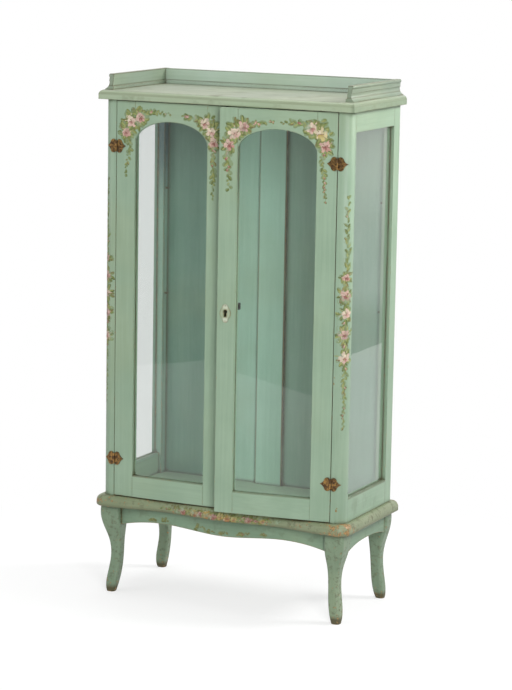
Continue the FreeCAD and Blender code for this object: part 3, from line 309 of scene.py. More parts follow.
def foot_stain(tree, place):
    """Brown tips of the feet, and stains on the legs."""
    tip = times(tree, falling_step(tree, place["Z"], *FOOT_TIP_Z), 1.3)
    return larger(tree, tip, speckles(tree, scale=110.0, strength=0.6))


def top_paint(tree, place):
    """The upper face of the top board has faded to grey; its nose has stayed green, with its right end
    darker as painted shade.
    """
    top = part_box("cornice_board")[1].z
    upper = smooth_step(tree, place["Z"], top - 3.5 * MM, top - 0.5 * MM)
    side = smooth_step(tree, place["X"], *NOSE_SHADE_END_X)
    return tuple(mix_colour(tree, upper, mix_colour(tree, side, green, shaded_tone), grey)
                 for green, shaded_tone, grey in ((NOSE, SHADED_SIDE_NOSE, TOP), (PALE_NOSE, PALE_SHADED_SIDE_NOSE, PALE_TOP)))


def nose_shade_and_stains(tree, place):
    """Painted shade in a line along the middle of the top board's nose, a little soil near its top, and
    stains.
    """
    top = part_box("cornice_board")[1].z
    away = distance_from(tree, place["Z"], top - NOSE_SHADE_DEPTH)
    line = falling_step(tree, away, 1.2 * MM, 4.5 * MM)
    nose = falling_step(tree, place["Z"], top - 2.5 * MM, top - 0.2 * MM)
    # Painted shade line, with a little soil near the top edge
    soiled = math_node(tree, "MULTIPLY_ADD", line, 0.28, times(tree, nose, 0.04))
    return larger(tree, soiled, speckles(tree, scale=16.0, strength=0.3))


def gallery_shade_and_dirt(tree, place):
    """Painted shade in a line above the low strip inside the gallery, and dirt along its upper edge."""
    low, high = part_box("gallery_back")
    away = distance_from(tree, place["Z"], low.z + GALLERY_GROOVE)
    groove = falling_step(tree, away, 0.6 * MM, 2.2 * MM)
    rim = smooth_step(tree, place["Z"], high.z - 3.0 * MM, high.z - 0.8 * MM)
    return math_node(tree, "MULTIPLY_ADD", groove, 0.5, times(tree, rim, 0.42))


def sill_line(tree, place, rail, depth, strength):
    """Darker line along the upper edge of a rail, where the pane stands."""
    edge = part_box(rail)[1].z
    below = smooth_step(tree, place["Z"], edge - depth, edge - 0.3 * depth)
    above = smooth_step(tree, place["Z"], edge + MM, edge + 2 * MM)
    return times(tree, math_node(tree, "SUBTRACT", below, above), strength)


def side_rail_darkening(tree, place):
    """Brown clouds low down on the sides, and a darker line below their panes."""
    low = falling_step(tree, place["Z"], *LOW_ON_SIDE_Z)
    clouds = times(tree, low, speckles(tree, scale=14.0, strength=0.3))
    line = sill_line(tree, place, "side_rail_bottom_right", depth=5.5 * MM, strength=0.6)
    return larger(tree, clouds, line)


def door_rail_darkening(tree, place):
    return sill_line(tree, place, "door_bottom_rail_left", depth=3.0 * MM, strength=0.5)


def floor_paint(tree, place):
    """The floor of the case is painted lighter on the right, as painted light."""
    right = smooth_step(tree, place["X"], *FLOOR_LIT_RIGHT_X)
    return tuple(mix_colour(tree, right, plain, lit_floor_tone)
                 for plain, lit_floor_tone in ((FLOOR, LIT_FLOOR), (PALE_FLOOR, PALE_LIT_FLOOR)))


def plate_paint(tree, place):
    """The key plate is paler round its two nails: rubbed paint and a painted highlight."""
    low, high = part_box("escutcheon")
    away = distance_from(tree, place["Z"], (low.z + high.z) / 2)
    ends = smooth_step(tree, away, 8 * MM, 12 * MM)
    return tuple(mix_colour(tree, ends, plain, rubbed)
                 for plain, rubbed in ((PLATE, PALE_PLATE), (PALE_PLATE, RUBBED_AND_HIGHLIT_PLATE)))


def post_shade_tones(tree, place):
    """Painted shade on the inner side of the rear post on the left, darker towards the top."""
    low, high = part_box("post_rear_left")
    height = smooth_step(tree, place["Z"], *POST_SHADE_TOP_Z)
    inner = smooth_step(tree, place["X"], low.x + 6 * MM, low.x + 9 * MM)
    behind = smooth_step(tree, place["Y"], high.y - 4 * MM, high.y - MM)
    inner = math_node(tree, "SUBTRACT", inner, behind, clamp=True)
    post_shade_mask = times(tree, height, inner)
    return tuple(mix_colour(tree, post_shade_mask, plain, dark)
                 for plain, dark in ((SHADE, SHADED_POST), (PALE_SHADE, PALE_SHADED_POST)))


def dark_post_corner(tree, place):
    """Darker band on the inner side of that post, along the back panel."""
    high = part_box("post_rear_left")[1]
    inner = smooth_step(tree, place["X"], high.x - 4 * MM, high.x - MM)
    behind = smooth_step(tree, place["Y"], high.y - 18 * MM, high.y - 8 * MM)
    return times(tree, times(tree, inner, behind), 0.75)


def muntin_edges(tree, place):
    """Brown edges of the middle post of the back."""
    low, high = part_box("back_muntin")
    left = falling_step(tree, place["X"], low.x + MM, low.x + 3 * MM)
    right = smooth_step(tree, place["X"], high.x - 3.5 * MM, high.x - 1.5 * MM)
    return math_node(tree, "MULTIPLY_ADD", left, 0.5, right)


def painted(name, stretch, paint=SAGE, pale=PALE_SAGE, wear=0.2, grime_and_shade=0.95, soil=0.35, bare=None,
            stain_and_shade=None, tones=None, gloss=0.6):
    """Paint of one board; bare, stain_and_shade and tones are functions that vary it over the board, some
    of them with painted light and shade.
    """
    material, tree, shader = new_material(name)
    place = add_node(tree, "SeparateXYZ", sockets={0: object_place(tree)}).outputs
    if tones:
        paint, pale = tones(tree, place)
    # grime_and_shade sets dirt with painted shade in recesses; stain_and_shade brings stains and lines of
    # painted shade
    coat = add_node(tree, "Group", node_tree=OLD_PAINT, sockets={
        "Paint": paint, "Pale Paint": pale, "Dirt and Shade": DIRT_AND_SHADE, "Bare Wood": OCHRE, "Stretch": stretch,
        "Wear": wear, "Grime and Shade": grime_and_shade, "Soil": soil})
    if bare:
        tree.links.new(bare(tree, place), coat.inputs["Bare"])
    if stain_and_shade:
        tree.links.new(stain_and_shade(tree, place), coat.inputs["Stain and Shade"])
    tree.links.new(coat.outputs["Color"], shader.inputs["Base Color"])
    tree.links.new(coat.outputs["Roughness"], shader.inputs["Roughness"])
    shader.inputs["Specular IOR Level"].default_value = gloss
    bump_into(tree, shader, coat.outputs["Height"], strength=0.3, distance=0.4 * MM)
    return material


def make_glass():
    """Slightly wavy glass; light reaches the inside through it straight, with a faint tint."""
    material, tree, shader = new_material("old_glass")
    shader.inputs["Base Color"].default_value = (0.895, 0.91, 0.902, 1.0)
    shader.inputs["Roughness"].default_value = 0.0
    shader.inputs["IOR"].default_value = 1.55
    shader.inputs["Transmission Weight"].default_value = 1.0
    waves = noise(tree, object_place(tree), scale=5.0, detail=1.0)
    bump_into(tree, shader, waves, strength=0.05, distance=2.0 * MM)
    clear = add_node(tree, "BsdfTransparent", sockets={"Color": (0.93, 0.96, 0.945, 1.0)})
    path = add_node(tree, "LightPath")
    let_through = larger(tree, path.outputs["Is Shadow Ray"], path.outputs["Is Diffuse Ray"])
    mix = add_node(tree, "MixShader", sockets={0: let_through, 1: shader.outputs[0], 2: clear.outputs[0]})
    tree.links.new(mix.outputs[0], tree.nodes["Material Output"].inputs["Surface"])
    return material


def metal(name, dark, light, roughness, grain):
    """Aged metal: dark skin with lighter rubbed places."""
    material, tree, shader = new_material(name)
    place = object_place(tree)
    rubbed = smooth_step(tree, noise(tree, place, grain, detail=4.0, roughness=0.65), 0.42, 0.66)
    tree.links.new(mix_colour(tree, rubbed, dark, light), shader.inputs["Base Color"])
    tree.links.new(math_node(tree, "MULTIPLY_ADD", rubbed, -0.18, roughness), shader.inputs["Roughness"])
    tree.links.new(math_node(tree, "MULTIPLY_ADD", rubbed, 0.35, 0.6), shader.inputs["Metallic"])
    bump_into(tree, shader, noise(tree, place, grain * 5, detail=3.0), strength=0.3, distance=0.2 * MM)
    return material


finishes = {
    "upright": painted("sage_upright", ALONG_Z),
    "across": painted("sage_across", ALONG_X, stain_and_shade=door_rail_darkening),
    "arch": painted("sage_arch", ALONG_X, grime_and_shade=0.3, soil=0.6),
    "along": painted("sage_along", ALONG_Y, stain_and_shade=side_rail_darkening),
    "base": painted("stand_base", ALONG_X, BASE, PALE_BASE, wear=0.9, grime_and_shade=1.0, soil=1.0,
                    bare=corner_flakes, stain_and_shade=base_stain),
    "leg": painted("stand_leg", ALONG_Z, SHADED_STAND, PALE_SHADED_STAND, wear=0.6, grime_and_shade=1.0, soil=0.7,
                   bare=leg_flakes, stain_and_shade=foot_stain),
    "apron_across": painted("stand_across", ALONG_X, SHADED_APRON, PALE_SHADED_APRON, wear=0.75, grime_and_shade=1.0, soil=1.0,
                            stain_and_shade=stand_stain),
    "apron_along": painted("stand_along", ALONG_Y, SHADED_APRON, PALE_SHADED_APRON, wear=0.75, grime_and_shade=1.0, soil=1.0,
                           stain_and_shade=stand_stain),
    "top": painted("top_board", ALONG_X, wear=0.1, grime_and_shade=1.0, soil=0.8, stain_and_shade=nose_shade_and_stains, tones=top_paint,
                   gloss=0.25),
    "gallery_across": painted("gallery_across", ALONG_X, LIT_BACK_GALLERY, PALE_LIT_BACK_GALLERY, wear=0.1,
                              grime_and_shade=0.35, soil=0.8, stain_and_shade=gallery_shade_and_dirt),
    "gallery_along": painted("gallery_along", ALONG_Y, SHADED_GALLERY, PALE_SHADED_GALLERY, wear=0.1, grime_and_shade=0.7, soil=1.0,
                             stain_and_shade=gallery_shade_and_dirt),
    "shade": painted("shade_upright", ALONG_Z, SHADE, PALE_SHADE, wear=0.8, grime_and_shade=1.0, soil=0.9),
    "back_light_and_shade": painted("back_light_and_shade", ALONG_Z, wear=0.8, grime_and_shade=1.0, soil=0.9, tones=left_panel_light_and_shade),
    "post_painted_shade": painted("post_painted_shade", ALONG_Z, wear=0.4, soil=0.6, stain_and_shade=dark_post_corner,
                         tones=post_shade_tones),
    # The middle post of the back is painted in the lit tones, as painted light
    "muntin": painted("muntin_painted_light", ALONG_Z, LIT_BACK, PALER_LIT_BACK, wear=0.8, grime_and_shade=1.0, soil=1.0,
                      stain_and_shade=muntin_edges),
    "shade_floor": painted("shade_floor", ALONG_X, wear=0.3, grime_and_shade=0.9, soil=0.6, tones=floor_paint),
    "glass": make_glass(),
    "brass": metal("dark_brass", srgb(90, 67, 45), srgb(178, 138, 82), roughness=0.52, grain=150.0),
    "iron": metal("dark_iron", srgb(24, 23, 22), srgb(62, 57, 50), roughness=0.6, grain=180.0),
    "plate": painted("painted_plate", ALONG_Z, wear=0.4, grime_and_shade=1.0, soil=1.0, tones=plate_paint),
    "peg": painted("peg_wood", ALONG_X, srgb(88, 80, 58), srgb(108, 96, 68), wear=0.2, grime_and_shade=0.5),
}
# The first entry that a piece's name starts with gives its finish; the last one takes all other pieces
FINISH_OF = [
    ("door_glass", "glass"), ("side_glass", "glass"), ("hinge", "brass"), ("lock", "iron"),
    ("edge_bolt", "iron"), ("escutcheon", "plate"), ("shelf_pegs", "peg"),
    ("back_panel_left", "back_light_and_shade"), ("back_panel", "shade"), ("back_muntin", "muntin"),
    ("post_rear_left", "post_painted_shade"), ("side_beads_left", "post_painted_shade"), ("back_top_rail", "shade"),
    ("floor_board", "shade_floor"), ("base_board", "base"), ("cornice_board", "top"),
    ("gallery_back", "gallery_across"), ("gallery_side", "gallery_along"), ("side_rail", "along"),
    ("apron_side", "apron_along"), ("apron", "apron_across"), ("leg", "leg"),
    ("door_bottom_rail", "across"), ("door_arch_rail", "arch"), ("top_stop_rail", "across"),
    ("", "upright"),
]
UNSOFTENED = ("glass", "brass", "iron", "peg")
SOFT_EDGE, WELD_GAP = 0.45 * MM, 0.005 * MM
SHARP_DEGREES = 38


def soften_edges(piece):
    """Small round on the sharp edges of a wooden piece."""
    weld = piece.modifiers.new("weld", "WELD")
    weld.merge_threshold = WELD_GAP
    bevel = piece.modifiers.new("soft_edges", "BEVEL")
    bevel.width = SOFT_EDGE
    bevel.segments = 2
    bevel.limit_method = "ANGLE"
    bevel.angle_limit = math.radians(SHARP_DEGREES)
    bevel.use_clamp_overlap = True


for node_name, piece in nodes.items():
    finish = next(value for start, value in FINISH_OF if node_name.startswith(start))
    piece.data.materials.clear()
    piece.data.materials.append(finishes[finish])
    if finish not in UNSOFTENED:
        soften_edges(piece)


# Painted flowers

# How far a dab reaches into the wood, and how far in front of it the search for the wood starts
SUNK, REACH = 0.2 * MM, 0.05
RIM_POINTS = 8
DABS_AT_ONCE = 20
CREAM, PALE_PINK, PINK = srgb(236, 222, 200), srgb(226, 192, 180), srgb(206, 156, 148)
ROSE, DEEP_ROSE, ORANGE = srgb(176, 104, 104), srgb(142, 68, 74), srgb(200, 134, 98)
STRAW, GOLD, MAUVE = srgb(220, 206, 140), srgb(186, 160, 86), srgb(200, 154, 156)
LEAF, DARK_LEAF, PALE_LEAF = srgb(128, 143, 82), srgb(95, 112, 64), srgb(164, 171, 108)
BROWN_LEAF, GROUND = srgb(126, 110, 74), srgb(140, 110, 88)
# Angle of the petals that are lightest
LIGHT_SIDE = 0.6
# Pale, middle and deep colour of each kind of flower
FLOWERS = {
    "pale": (CREAM, PALE_PINK, ROSE),
    "pink": (PALE_PINK, PINK, DEEP_ROSE),
    "cream": (CREAM, PALE_PINK, PINK),
    "deep": (PALE_PINK, MAUVE, DEEP_ROSE),
    "straw": (CREAM, STRAW, GOLD),
    "rust": (GOLD, ORANGE, DEEP_ROSE),
    "dusk": (MAUVE, ROSE, DEEP_ROSE),
    "gilt": (STRAW, GOLD, ROSE),
}
# Two rings of petals: their number; root, length and width as shares of the rose's radius; height in mm
PETAL_RINGS = ((8, 0.34, 0.62, 0.52, 0.22), (5, 0.08, 0.50, 0.42, 0.30))
HEART_ANGLES, RIM_ANGLES, STRAY_PETALS = (2.2, 3.6), (0.2, 1.0, 1.9, 4.6), 4
LEAF_LENGTH = 12.0


def blend(first, second, share):
    return tuple(low + (high - low) * share for low, high in zip(first, second))


def stepped(u, v, reach, angle):
    """Place that lies reach away from u, v; angle 0 is up."""
    return u - reach * math.sin(angle), v + reach * math.cos(angle)


THIN_LEAF = blend(SAGE, LEAF, 0.45)
LEAF_PAIRS = ((DARK_LEAF, LEAF), (LEAF, PALE_LEAF), (DARK_LEAF, PALE_LEAF), (LEAF, PALE_LEAF),
              (BROWN_LEAF, LEAF))
TRAIL_PAIRS = ((DARK_LEAF, LEAF), (LEAF, PALE_LEAF), (THIN_LEAF, PALE_LEAF), (THIN_LEAF, LEAF),
               (BROWN_LEAF, PALE_LEAF))
BASE_PAIRS = ((DARK_LEAF, LEAF), (BROWN_LEAF, DARK_LEAF), (BROWN_LEAF, LEAF), (DARK_LEAF, BROWN_LEAF))


class Painting:
    """Dabs of paint on one surface, drawn in the flat: u across, v up, both in millimetres."""

    def __init__(self, soiled=0.0, leaf_pairs=LEAF_PAIRS):
        self.dabs = []
        self.soiled = soiled
        self.leaf_pairs = leaf_pairs

    def dab(self, u, v, angle, length, width, colour, lift, taper):
        """Adds one dab; lift is its height in millimetres, taper the share that its far end is narrower."""
        shade = brush.uniform(0.88, 1.1)
        dulled = blend(colour, OLIVE_DIRT, self.soiled)
        tinted = tuple(min(1.0, part * shade) for part in dulled[:3]) + (1.0,)
        self.dabs.append((u, v, angle, length, width, tinted, lift, taper))

    def leaf(self, u, v, angle, length, pairs=None):
        """Three strokes: a thin wash, a dark leaf and a lighter half."""
        dark, light = brush.choice(pairs or self.leaf_pairs)
        self.dab(u, v, angle + brush.uniform(-0.5, 0.5), length * 1.1, length * 0.8, THIN_LEAF, 0.05, 0.1)
        self.dab(u, v, angle, length, length * 0.6, dark, 0.10, 0.3)
        side = brush.choice((-1, 1)) * length * 0.08
        self.dab(u + side * math.cos(angle), v + side * math.sin(angle), angle,
                 length * 0.85, length * 0.34, light, 0.14, 0.4)

    def leaves(self, u, v, radius, count, length=LEAF_LENGTH):
        """Mass of leaves below a flower."""
        for step in range(count):
            angle = (step + brush.uniform(-0.4, 0.4)) * math.tau / count
            reach = radius * brush.uniform(0.5, 1.0)
            self.leaf(*stepped(u, v, reach, angle), angle + brush.uniform(-0.9, 0.9),
                      length * brush.uniform(0.75, 1.2))

    def rose(self, u, v, size, kind, leaves=15):
        """Full rose: a soft ground, two loose rings of petals, a deep heart, pale rims and stray petals."""
        pale, middle, deep = FLOWERS[kind]
        radius, turn = size / 2, brush.uniform(0, math.tau)
        self.leaves(u, v, radius, leaves, min(LEAF_LENGTH, size * 0.55))
        self.dab(u, v - radius * 0.8, 0.0, radius * 1.55, radius * 1.5, GROUND, 0.16, 0.0)
        ring_colours = (middle, blend(deep, middle, 0.35))
        for ring, (count, root, length, width, lift) in enumerate(PETAL_RINGS):
            for step in range(count):
                angle = turn + ring + (step + brush.uniform(-0.4, 0.4)) * math.tau / count
                light = 0.5 + 0.5 * math.cos(angle - LIGHT_SIDE) + brush.uniform(-0.45, 0.3)
                grown = radius * length * brush.uniform(0.6, 1.35)
                start = root * radius * brush.uniform(0.7, 1.3)
                self.dab(*stepped(u, v, start, angle), angle,
                         grown, radius * width * brush.uniform(0.7, 1.25),
                         blend(ring_colours[ring], pale, min(max(light, 0.0), 1.0)), lift, -0.2)
        for angle in HEART_ANGLES:
            self.dab(u - 0.1 * radius * math.sin(angle), v - 0.06 * radius,
                     angle + brush.uniform(-0.5, 0.5), radius * 0.34, radius * 0.22, deep, 0.36, 0.3)
        for angle in RIM_ANGLES:
            away = radius * brush.uniform(0.4, 0.7)
            self.dab(*stepped(u, v, away, angle), angle + brush.uniform(0.9, 1.6),
                     radius * brush.uniform(0.4, 0.7), radius * 0.16, blend(CREAM, pale, 0.35), 0.34, 0.4)
        for _ in range(STRAY_PETALS):
            angle = brush.uniform(0, math.tau)
            away = radius * brush.uniform(0.75, 1.0)
            self.dab(*stepped(u, v, away, angle), angle + brush.uniform(-0.7, 0.7),
                     radius * brush.uniform(0.3, 0.5), radius * 0.15,
                     blend(middle, pale, brush.random()), 0.2, 0.5)

    def bud(self, u, v, angle, size, kind="pink"):
        """Half-closed flower between two leaves."""
        pale, middle, _ = FLOWERS[kind]
        self.leaf(u, v, angle + 0.5, size)
        self.leaf(u, v, angle - 0.5, size)
        self.dab(u, v, angle, size * 0.85, size * 0.5, blend(middle, GROUND, 0.3), 0.2, 0.2)
        self.dab(u, v, angle, size * 0.5, size * 0.25, pale, 0.26, 0.2)

    def sprig(self, points, leaf_length, buds=0.2, thin=0.38):
        """Stem through points, with small leaves and a few buds; thin makes them smaller at its tip."""
        for place, (start, end) in enumerate(zip(points, points[1:])):
            run, rise = end[0] - start[0], end[1] - start[1]
            length, angle = math.hypot(run, rise), math.atan2(-run, rise)
            self.dab(*start, angle, length * 1.05, 1.0, THIN_LEAF, 0.08, 0.2)
            left = 1 - thin * place / max(1, len(points) - 2)
            count = max(2, round(length * math.sqrt(left) / (leaf_length * 0.42)))
            for step in range(count):
                side = 1 if step % 2 else -1
                share = (step + brush.uniform(0.2, 0.8)) / count
                at = (start[0] + run * share, start[1] + rise * share)
                turn = angle + side * brush.uniform(0.2, 0.9)
                grown = leaf_length * left * brush.uniform(0.65, 1.2)
                if brush.random() < buds * left:
                    self.bud(*at, turn, grown * 0.85, brush.choice(("dusk", "pink", "deep")))
                else:
                    self.leaf(*at, turn, grown * 1.1, TRAIL_PAIRS)

    def build(self, name, body, surface, finish):
        """Closed dabs set on the surface, a few at once; each colour stays with its dab as an attribute."""
        whole = bmesh.new()
        for first in range(0, len(self.dabs), DABS_AT_ONCE):
            bm = bmesh.new()
            tint = bm.loops.layers.float_color.new("tint")
            for dab in self.dabs[first:first + DABS_AT_ONCE]:
                if all(surface(point) for point in dab_outline(*dab[:5], dab[-1])):
                    add_dab(bm, tint, *dab)
            bmesh.ops.recalc_face_normals(bm, faces=bm.faces[:])
            for vert in bm.verts:
                vert.co = surface(vert.co)
            part = bpy.data.meshes.new("dabs")
            bm.to_mesh(part)
            bm.free()
            whole.from_mesh(part)
            bpy.data.meshes.remove(part)
        return add_piece(name, whole, finish, body)


def placed(u, v, angle=0.0, height=0.0):
    """Takes a shape that is drawn in millimetres to its place in the flat."""
    return Matrix.Scale(MM, 4) @ Matrix.Translation((u, v, height)) @ Matrix.Rotation(angle, 4, "Z")


def dab_outline(u, v, angle, length, width, taper):
    """Places round the rim of a dab."""
    turn = placed(u, v, angle)
    rim = []
    for step in range(RIM_POINTS):
        share = 0.5 + 0.5 * math.sin(step * math.tau / RIM_POINTS)
        aside = 0.5 * math.cos(step * math.tau / RIM_POINTS) * width * (1 - taper * share)
        rim.append(turn @ Vector((aside, share * length, 0.0)))
    return rim


def add_dab(bm, tint, u, v, angle, length, width, colour, lift, taper):
    """One dab: a disc drawn out to a drop, thickened and domed."""
    rim = bmesh.ops.create_circle(bm, cap_ends=True, segments=RIM_POINTS, radius=0.5)["verts"]
    for vert in rim:
        share = vert.co.y + 0.5
        vert.co = (vert.co.x * width * (1 - taper * share), share * length, 0.0)
    grown = bmesh.ops.extrude_face_region(bm, geom=[rim[0].link_faces[0]])["geom"]
    top = [part for part in grown if isinstance(part, bmesh.types.BMVert)]
    faces = [part for part in grown if isinstance(part, bmesh.types.BMFace)]
    bmesh.ops.translate(bm, vec=(0, 0, lift), verts=top)
    crown = bmesh.ops.poke(bm, faces=faces, offset=lift * 0.5)["verts"]
    verts = rim + top + crown
    for vert in rim:
        vert.co.z = -SUNK / MM
    bmesh.ops.transform(bm, matrix=placed(u, v, angle), verts=verts)
    for face in {face for vert in verts for face in vert.link_faces}:
        for loop in face.loops:
            loop[tint] = colour


def add_piece(name, bm, finish, body):
    mesh = bpy.data.meshes.new(name)
    bm.to_mesh(mesh)
    bm.free()
    mesh.materials.append(finish)
    piece = bpy.data.objects.new(name, mesh)
    bpy.context.scene.collection.objects.link(piece)
    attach(piece, body)
    return piece


def on_surface(carriers, origin, across, up, toward, turn=Matrix.Identity(4)):
    """Sets flat places on the faces that a line from outside meets; turn moves them with an open door."""
    graph = bpy.context.evaluated_depsgraph_get()
    trees = [BVHTree.FromObject(nodes[name], graph) for name in carriers]
    inward = (turn.to_3x3() @ Vector(toward)).normalized()

    def place(point):
        flat = turn @ (Vector(origin) + Vector(across) * point.x + Vector(up) * point.y)
        hits = [tree.ray_cast(flat - inward * REACH, inward) for tree in trees]
        hits = [hit for hit in hits if hit[0] is not None]
        if not hits:
            return None
        spot, normal, _, _ = min(hits, key=lambda hit: hit[3])
        if normal.dot(inward) > 0:
            normal = -normal
        return spot + normal * point.z

    return place


def on_front(carriers, depth=0.0, x=0.0, turn=Matrix.Identity(4)):
    """Faces seen from the front, with depth counted from the doors' face and u from x."""
    return on_surface(carriers, (x, DOOR_FACE + depth, 0), (1, 0, 0), (0, 0, 1), (0, 1, 0), turn)


def door_carriers(side):
    return [f"door_{part}_{side}" for part in ("hinge_stile", "meeting_stile", "arch_rail", "bottom_rail")]


def turned_about(joint, degrees):
    pivot = Vector(joint["pos_m"])
    swing = Matrix.Rotation(math.radians(degrees), 4, "Z")
    return Matrix.Translation(pivot) @ swing @ Matrix.Translation(-pivot)


def make_flower_paint():
    """Each dab's own colour, faded in patches and soiled in fine specks."""
    material, tree, shader = new_material("flower_paint")
    tint = add_node(tree, "Attribute", attribute_name="tint").outputs["Color"]
    place = object_place(tree)
    patches = smooth_step(tree, noise(tree, place, scale=60.0, detail=3.0), 0.5, 0.8)
    specks = times(tree, noise(tree, place, scale=900.0, detail=2.0), 0.35)
    worn = mix_colour(tree, specks, mix_colour(tree, patches, tint, PALE_SAGE), OLIVE_DIRT)
    rough = math_node(tree, "MULTIPLY_ADD", noise(tree, place, scale=300.0, detail=2.0), 0.2, 0.45)
    tree.links.new(worn, shader.inputs["Base Color"])
    tree.links.new(rough, shader.inputs["Roughness"])
    shader.inputs["Specular IOR Level"].default_value = 0.35
    return material


FLOWER_PAINT = make_flower_paint()
DOOR_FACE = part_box("door_hinge_stile_left")[0].y
# Axis of the front posts' rounded corner, on the right, and its radius
POST_ROUND = 20.0 * MM
POST_AXIS = Vector((273.0 * MM, DOOR_FACE + POST_ROUND, 0.0))
DIAGONAL = math.sqrt(0.5)
# How far the base board stands in front of the doors, and the front apron behind them
BASE_DEPTH, APRON_DEPTH = -18 * MM, 12 * MM
RIGHT_AJAR = -joints["right_door_hinge"]["range_deg"][0]


def paint_left_door():
    art = Painting()
    art.sprig([(-196, 1076), (-180, 1079), (-163, 1081), (-147, 1081), (-132, 1080)], 10, buds=0.15)
    art.sprig([(-238, 1028), (-233, 1014), (-230, 998), (-235, 980), (-239, 962), (-240, 942)],
              10, buds=0.15)
    art.sprig([(-58, 1070), (-74, 1074), (-90, 1076), (-104, 1079)], 12, buds=0.2)
    art.sprig([(-28, 1014), (-26, 990), (-29, 967), (-27, 945), (-29, 923), (-28, 902)], 12, buds=0.25)
    art.leaves(-216, 1066, radius=20, count=20)
    art.leaves(-234, 1050, radius=16, count=14)
    art.leaves(-40, 1057, radius=20, count=20)
    art.bud(-88, 1075, 1.4, 13, "deep")
    for u, v, size, kind in ((-240, 1035, 23, "pink"), (-227, 1060, 27, "pale"), (-205, 1068, 25, "pink"),
                             (-50, 1064, 24, "pale"), (-33, 1046, 25, "cream"), (-28, 1023, 23, "pink")):
        art.rose(u, v, size, kind)
    surface = on_front(door_carriers("left"))
    art.build("roses_left_door", "left_door", surface, FLOWER_PAINT)


def paint_right_door():
    art = Painting()
    art.sprig([(64, 1067), (82, 1072), (100, 1076), (120, 1078)], 12, buds=0.2)
    art.sprig([(20, 1012), (21, 990), (22, 968), (24, 948), (25, 928)], 12, buds=0.2)
    art.sprig([(194, 1074), (174, 1077), (156, 1077), (137, 1076)], 11, buds=0.15)
    art.sprig([(238, 1018), (231, 1006), (230, 990), (234, 972), (236, 950), (236, 930), (240, 914)],
              10, buds=0.3)
    art.leaves(44, 1058, radius=20, count=20)
    art.leaves(217, 1064, radius=21, count=20)
    art.leaves(234, 1045, radius=16, count=14)
    for u, v, size, kind in ((23, 1025, 25, "pink"), (35, 1050, 28, "cream"), (55, 1064, 25, "deep"),
                             (206, 1068, 26, "pale"), (226, 1056, 28, "straw"), (236, 1031, 25, "pink")):
        art.rose(u, v, size, kind)
    surface = on_front(door_carriers("right"), turn=turned_about(joints["right_door_hinge"], RIGHT_AJAR))
    art.build("roses_right_door", "right_door", surface, FLOWER_PAINT)


def paint_post(side):
    """Garland on the rounded corner of a front post: u runs round the corner from its middle."""
    sign = 1 if side == "right" else -1
    art = Painting()
    art.sprig([(0, 770), (2, 800), (3, 820), (-1, 840), (1, 858), (0, 876), (-1, 892), (1, 910), (2, 930)],
              12, buds=0.06)
    art.sprig([(0, 580), (2, 552), (-1, 530), (1, 508), (0, 486), (-1, 460), (0, 432)], 11, buds=0.1)
    art.sprig([(-3, 765), (3, 700), (-3, 650), (2, 575)], 14, buds=0.05, thin=0.0)
    for u, v, size, kind in ((0, 757, 18, "pink"), (-1, 718, 25, "pink"), (1, 679, 22, "cream"),
                             (-1, 635, 24, "deep"), (0, 585, 25, "pale")):
        art.rose(u, v, size, kind)
    corner = Vector((sign * POST_AXIS.x, POST_AXIS.y, 0))
    outward = Vector((sign * DIAGONAL, -DIAGONAL, 0))
    surface = on_surface([f"post_front_{side}"], corner + outward * POST_ROUND,
                         (DIAGONAL, sign * DIAGONAL, 0), (0, 0, 1), -outward)
    art.build(f"garland_post_{side}", "case", surface, FLOWER_PAINT)


def paint_base():
    art = Painting(soiled=0.2, leaf_pairs=BASE_PAIRS)
    art.sprig([(-70, 210), (-92, 209), (-106, 211), (-120, 210), (-140, 212)], 10, buds=0.1)
    art.sprig([(-90, 207), (-50, 208), (-10, 207), (40, 207), (80, 207), (110, 208)], 9, buds=0.1, thin=0.0)
    art.sprig([(-90, 213), (-50, 214), (-10, 213), (40, 213), (80, 212), (110, 212)], 9, buds=0.1, thin=0.0)
    art.sprig([(100, 210), (124, 211), (148, 212)], 8, buds=0.1)
    for u in (-112, -98, -74, 58, 90):
        art.leaves(u, 209, radius=9, count=9, length=9.0)
    for u, v, size, kind in ((-87, 209, 15, "dusk"), (-58, 209, 20, "rust"), (-43, 208, 17, "dusk"),
                             (-25, 210, 19, "rust"), (-8, 208, 18, "dusk"), (8, 210, 16, "gilt"),
                             (24, 209, 18, "rust"), (40, 208, 15, "gilt"), (74, 209, 16, "dusk"),
                             (106, 210, 13, "rust")):
        art.rose(u, v, size, kind, leaves=10)
    surface = on_front(["base_board"], BASE_DEPTH)
    art.build("roses_base", "case", surface, FLOWER_PAINT)


def paint_apron():
    art = Painting(soiled=0.45)
    for points in ([(-70, 169), (-58, 174), (-44, 175)], [(-46, 163), (-34, 168), (-20, 167)],
                   [(-14, 163), (0, 167), (12, 171)], [(-184, 175), (-168, 178)],
                   [(-152, 177), (-136, 179)], [(34, 167), (50, 172), (66, 174)],
                   [(90, 174), (106, 178)]):
        art.sprig(points, 8, buds=0.1)
    surface = on_front(["apron_front"], APRON_DEPTH)
    art.build("leaves_apron", "case", surface, FLOWER_PAINT)


def paint_losses():
    """Old knocks at two places on the right front post, where the wood shows."""
    art = Painting()
    for u, v, length, width in ((278, 250, 6.5, 5.5), (279, 257, 3.0, 3.5),
                                (266.5, 526, 5.0, 2.6), (267, 540, 3.0, 2.0)):
        art.dab(u, v, 0.2, length, width, blend(OCHRE, OLIVE_DIRT, 0.5), 0.05, 0.2)
    surface = on_front(["post_front_right"])
    art.build("knocks_post_right", "case", surface, FLOWER_PAINT)


paint_left_door()
paint_right_door()
paint_post("left")
paint_post("right")
paint_base()
paint_apron()
paint_losses()


# Screws and nails

LEAF_HALF_HEIGHT = 14.6 * MM
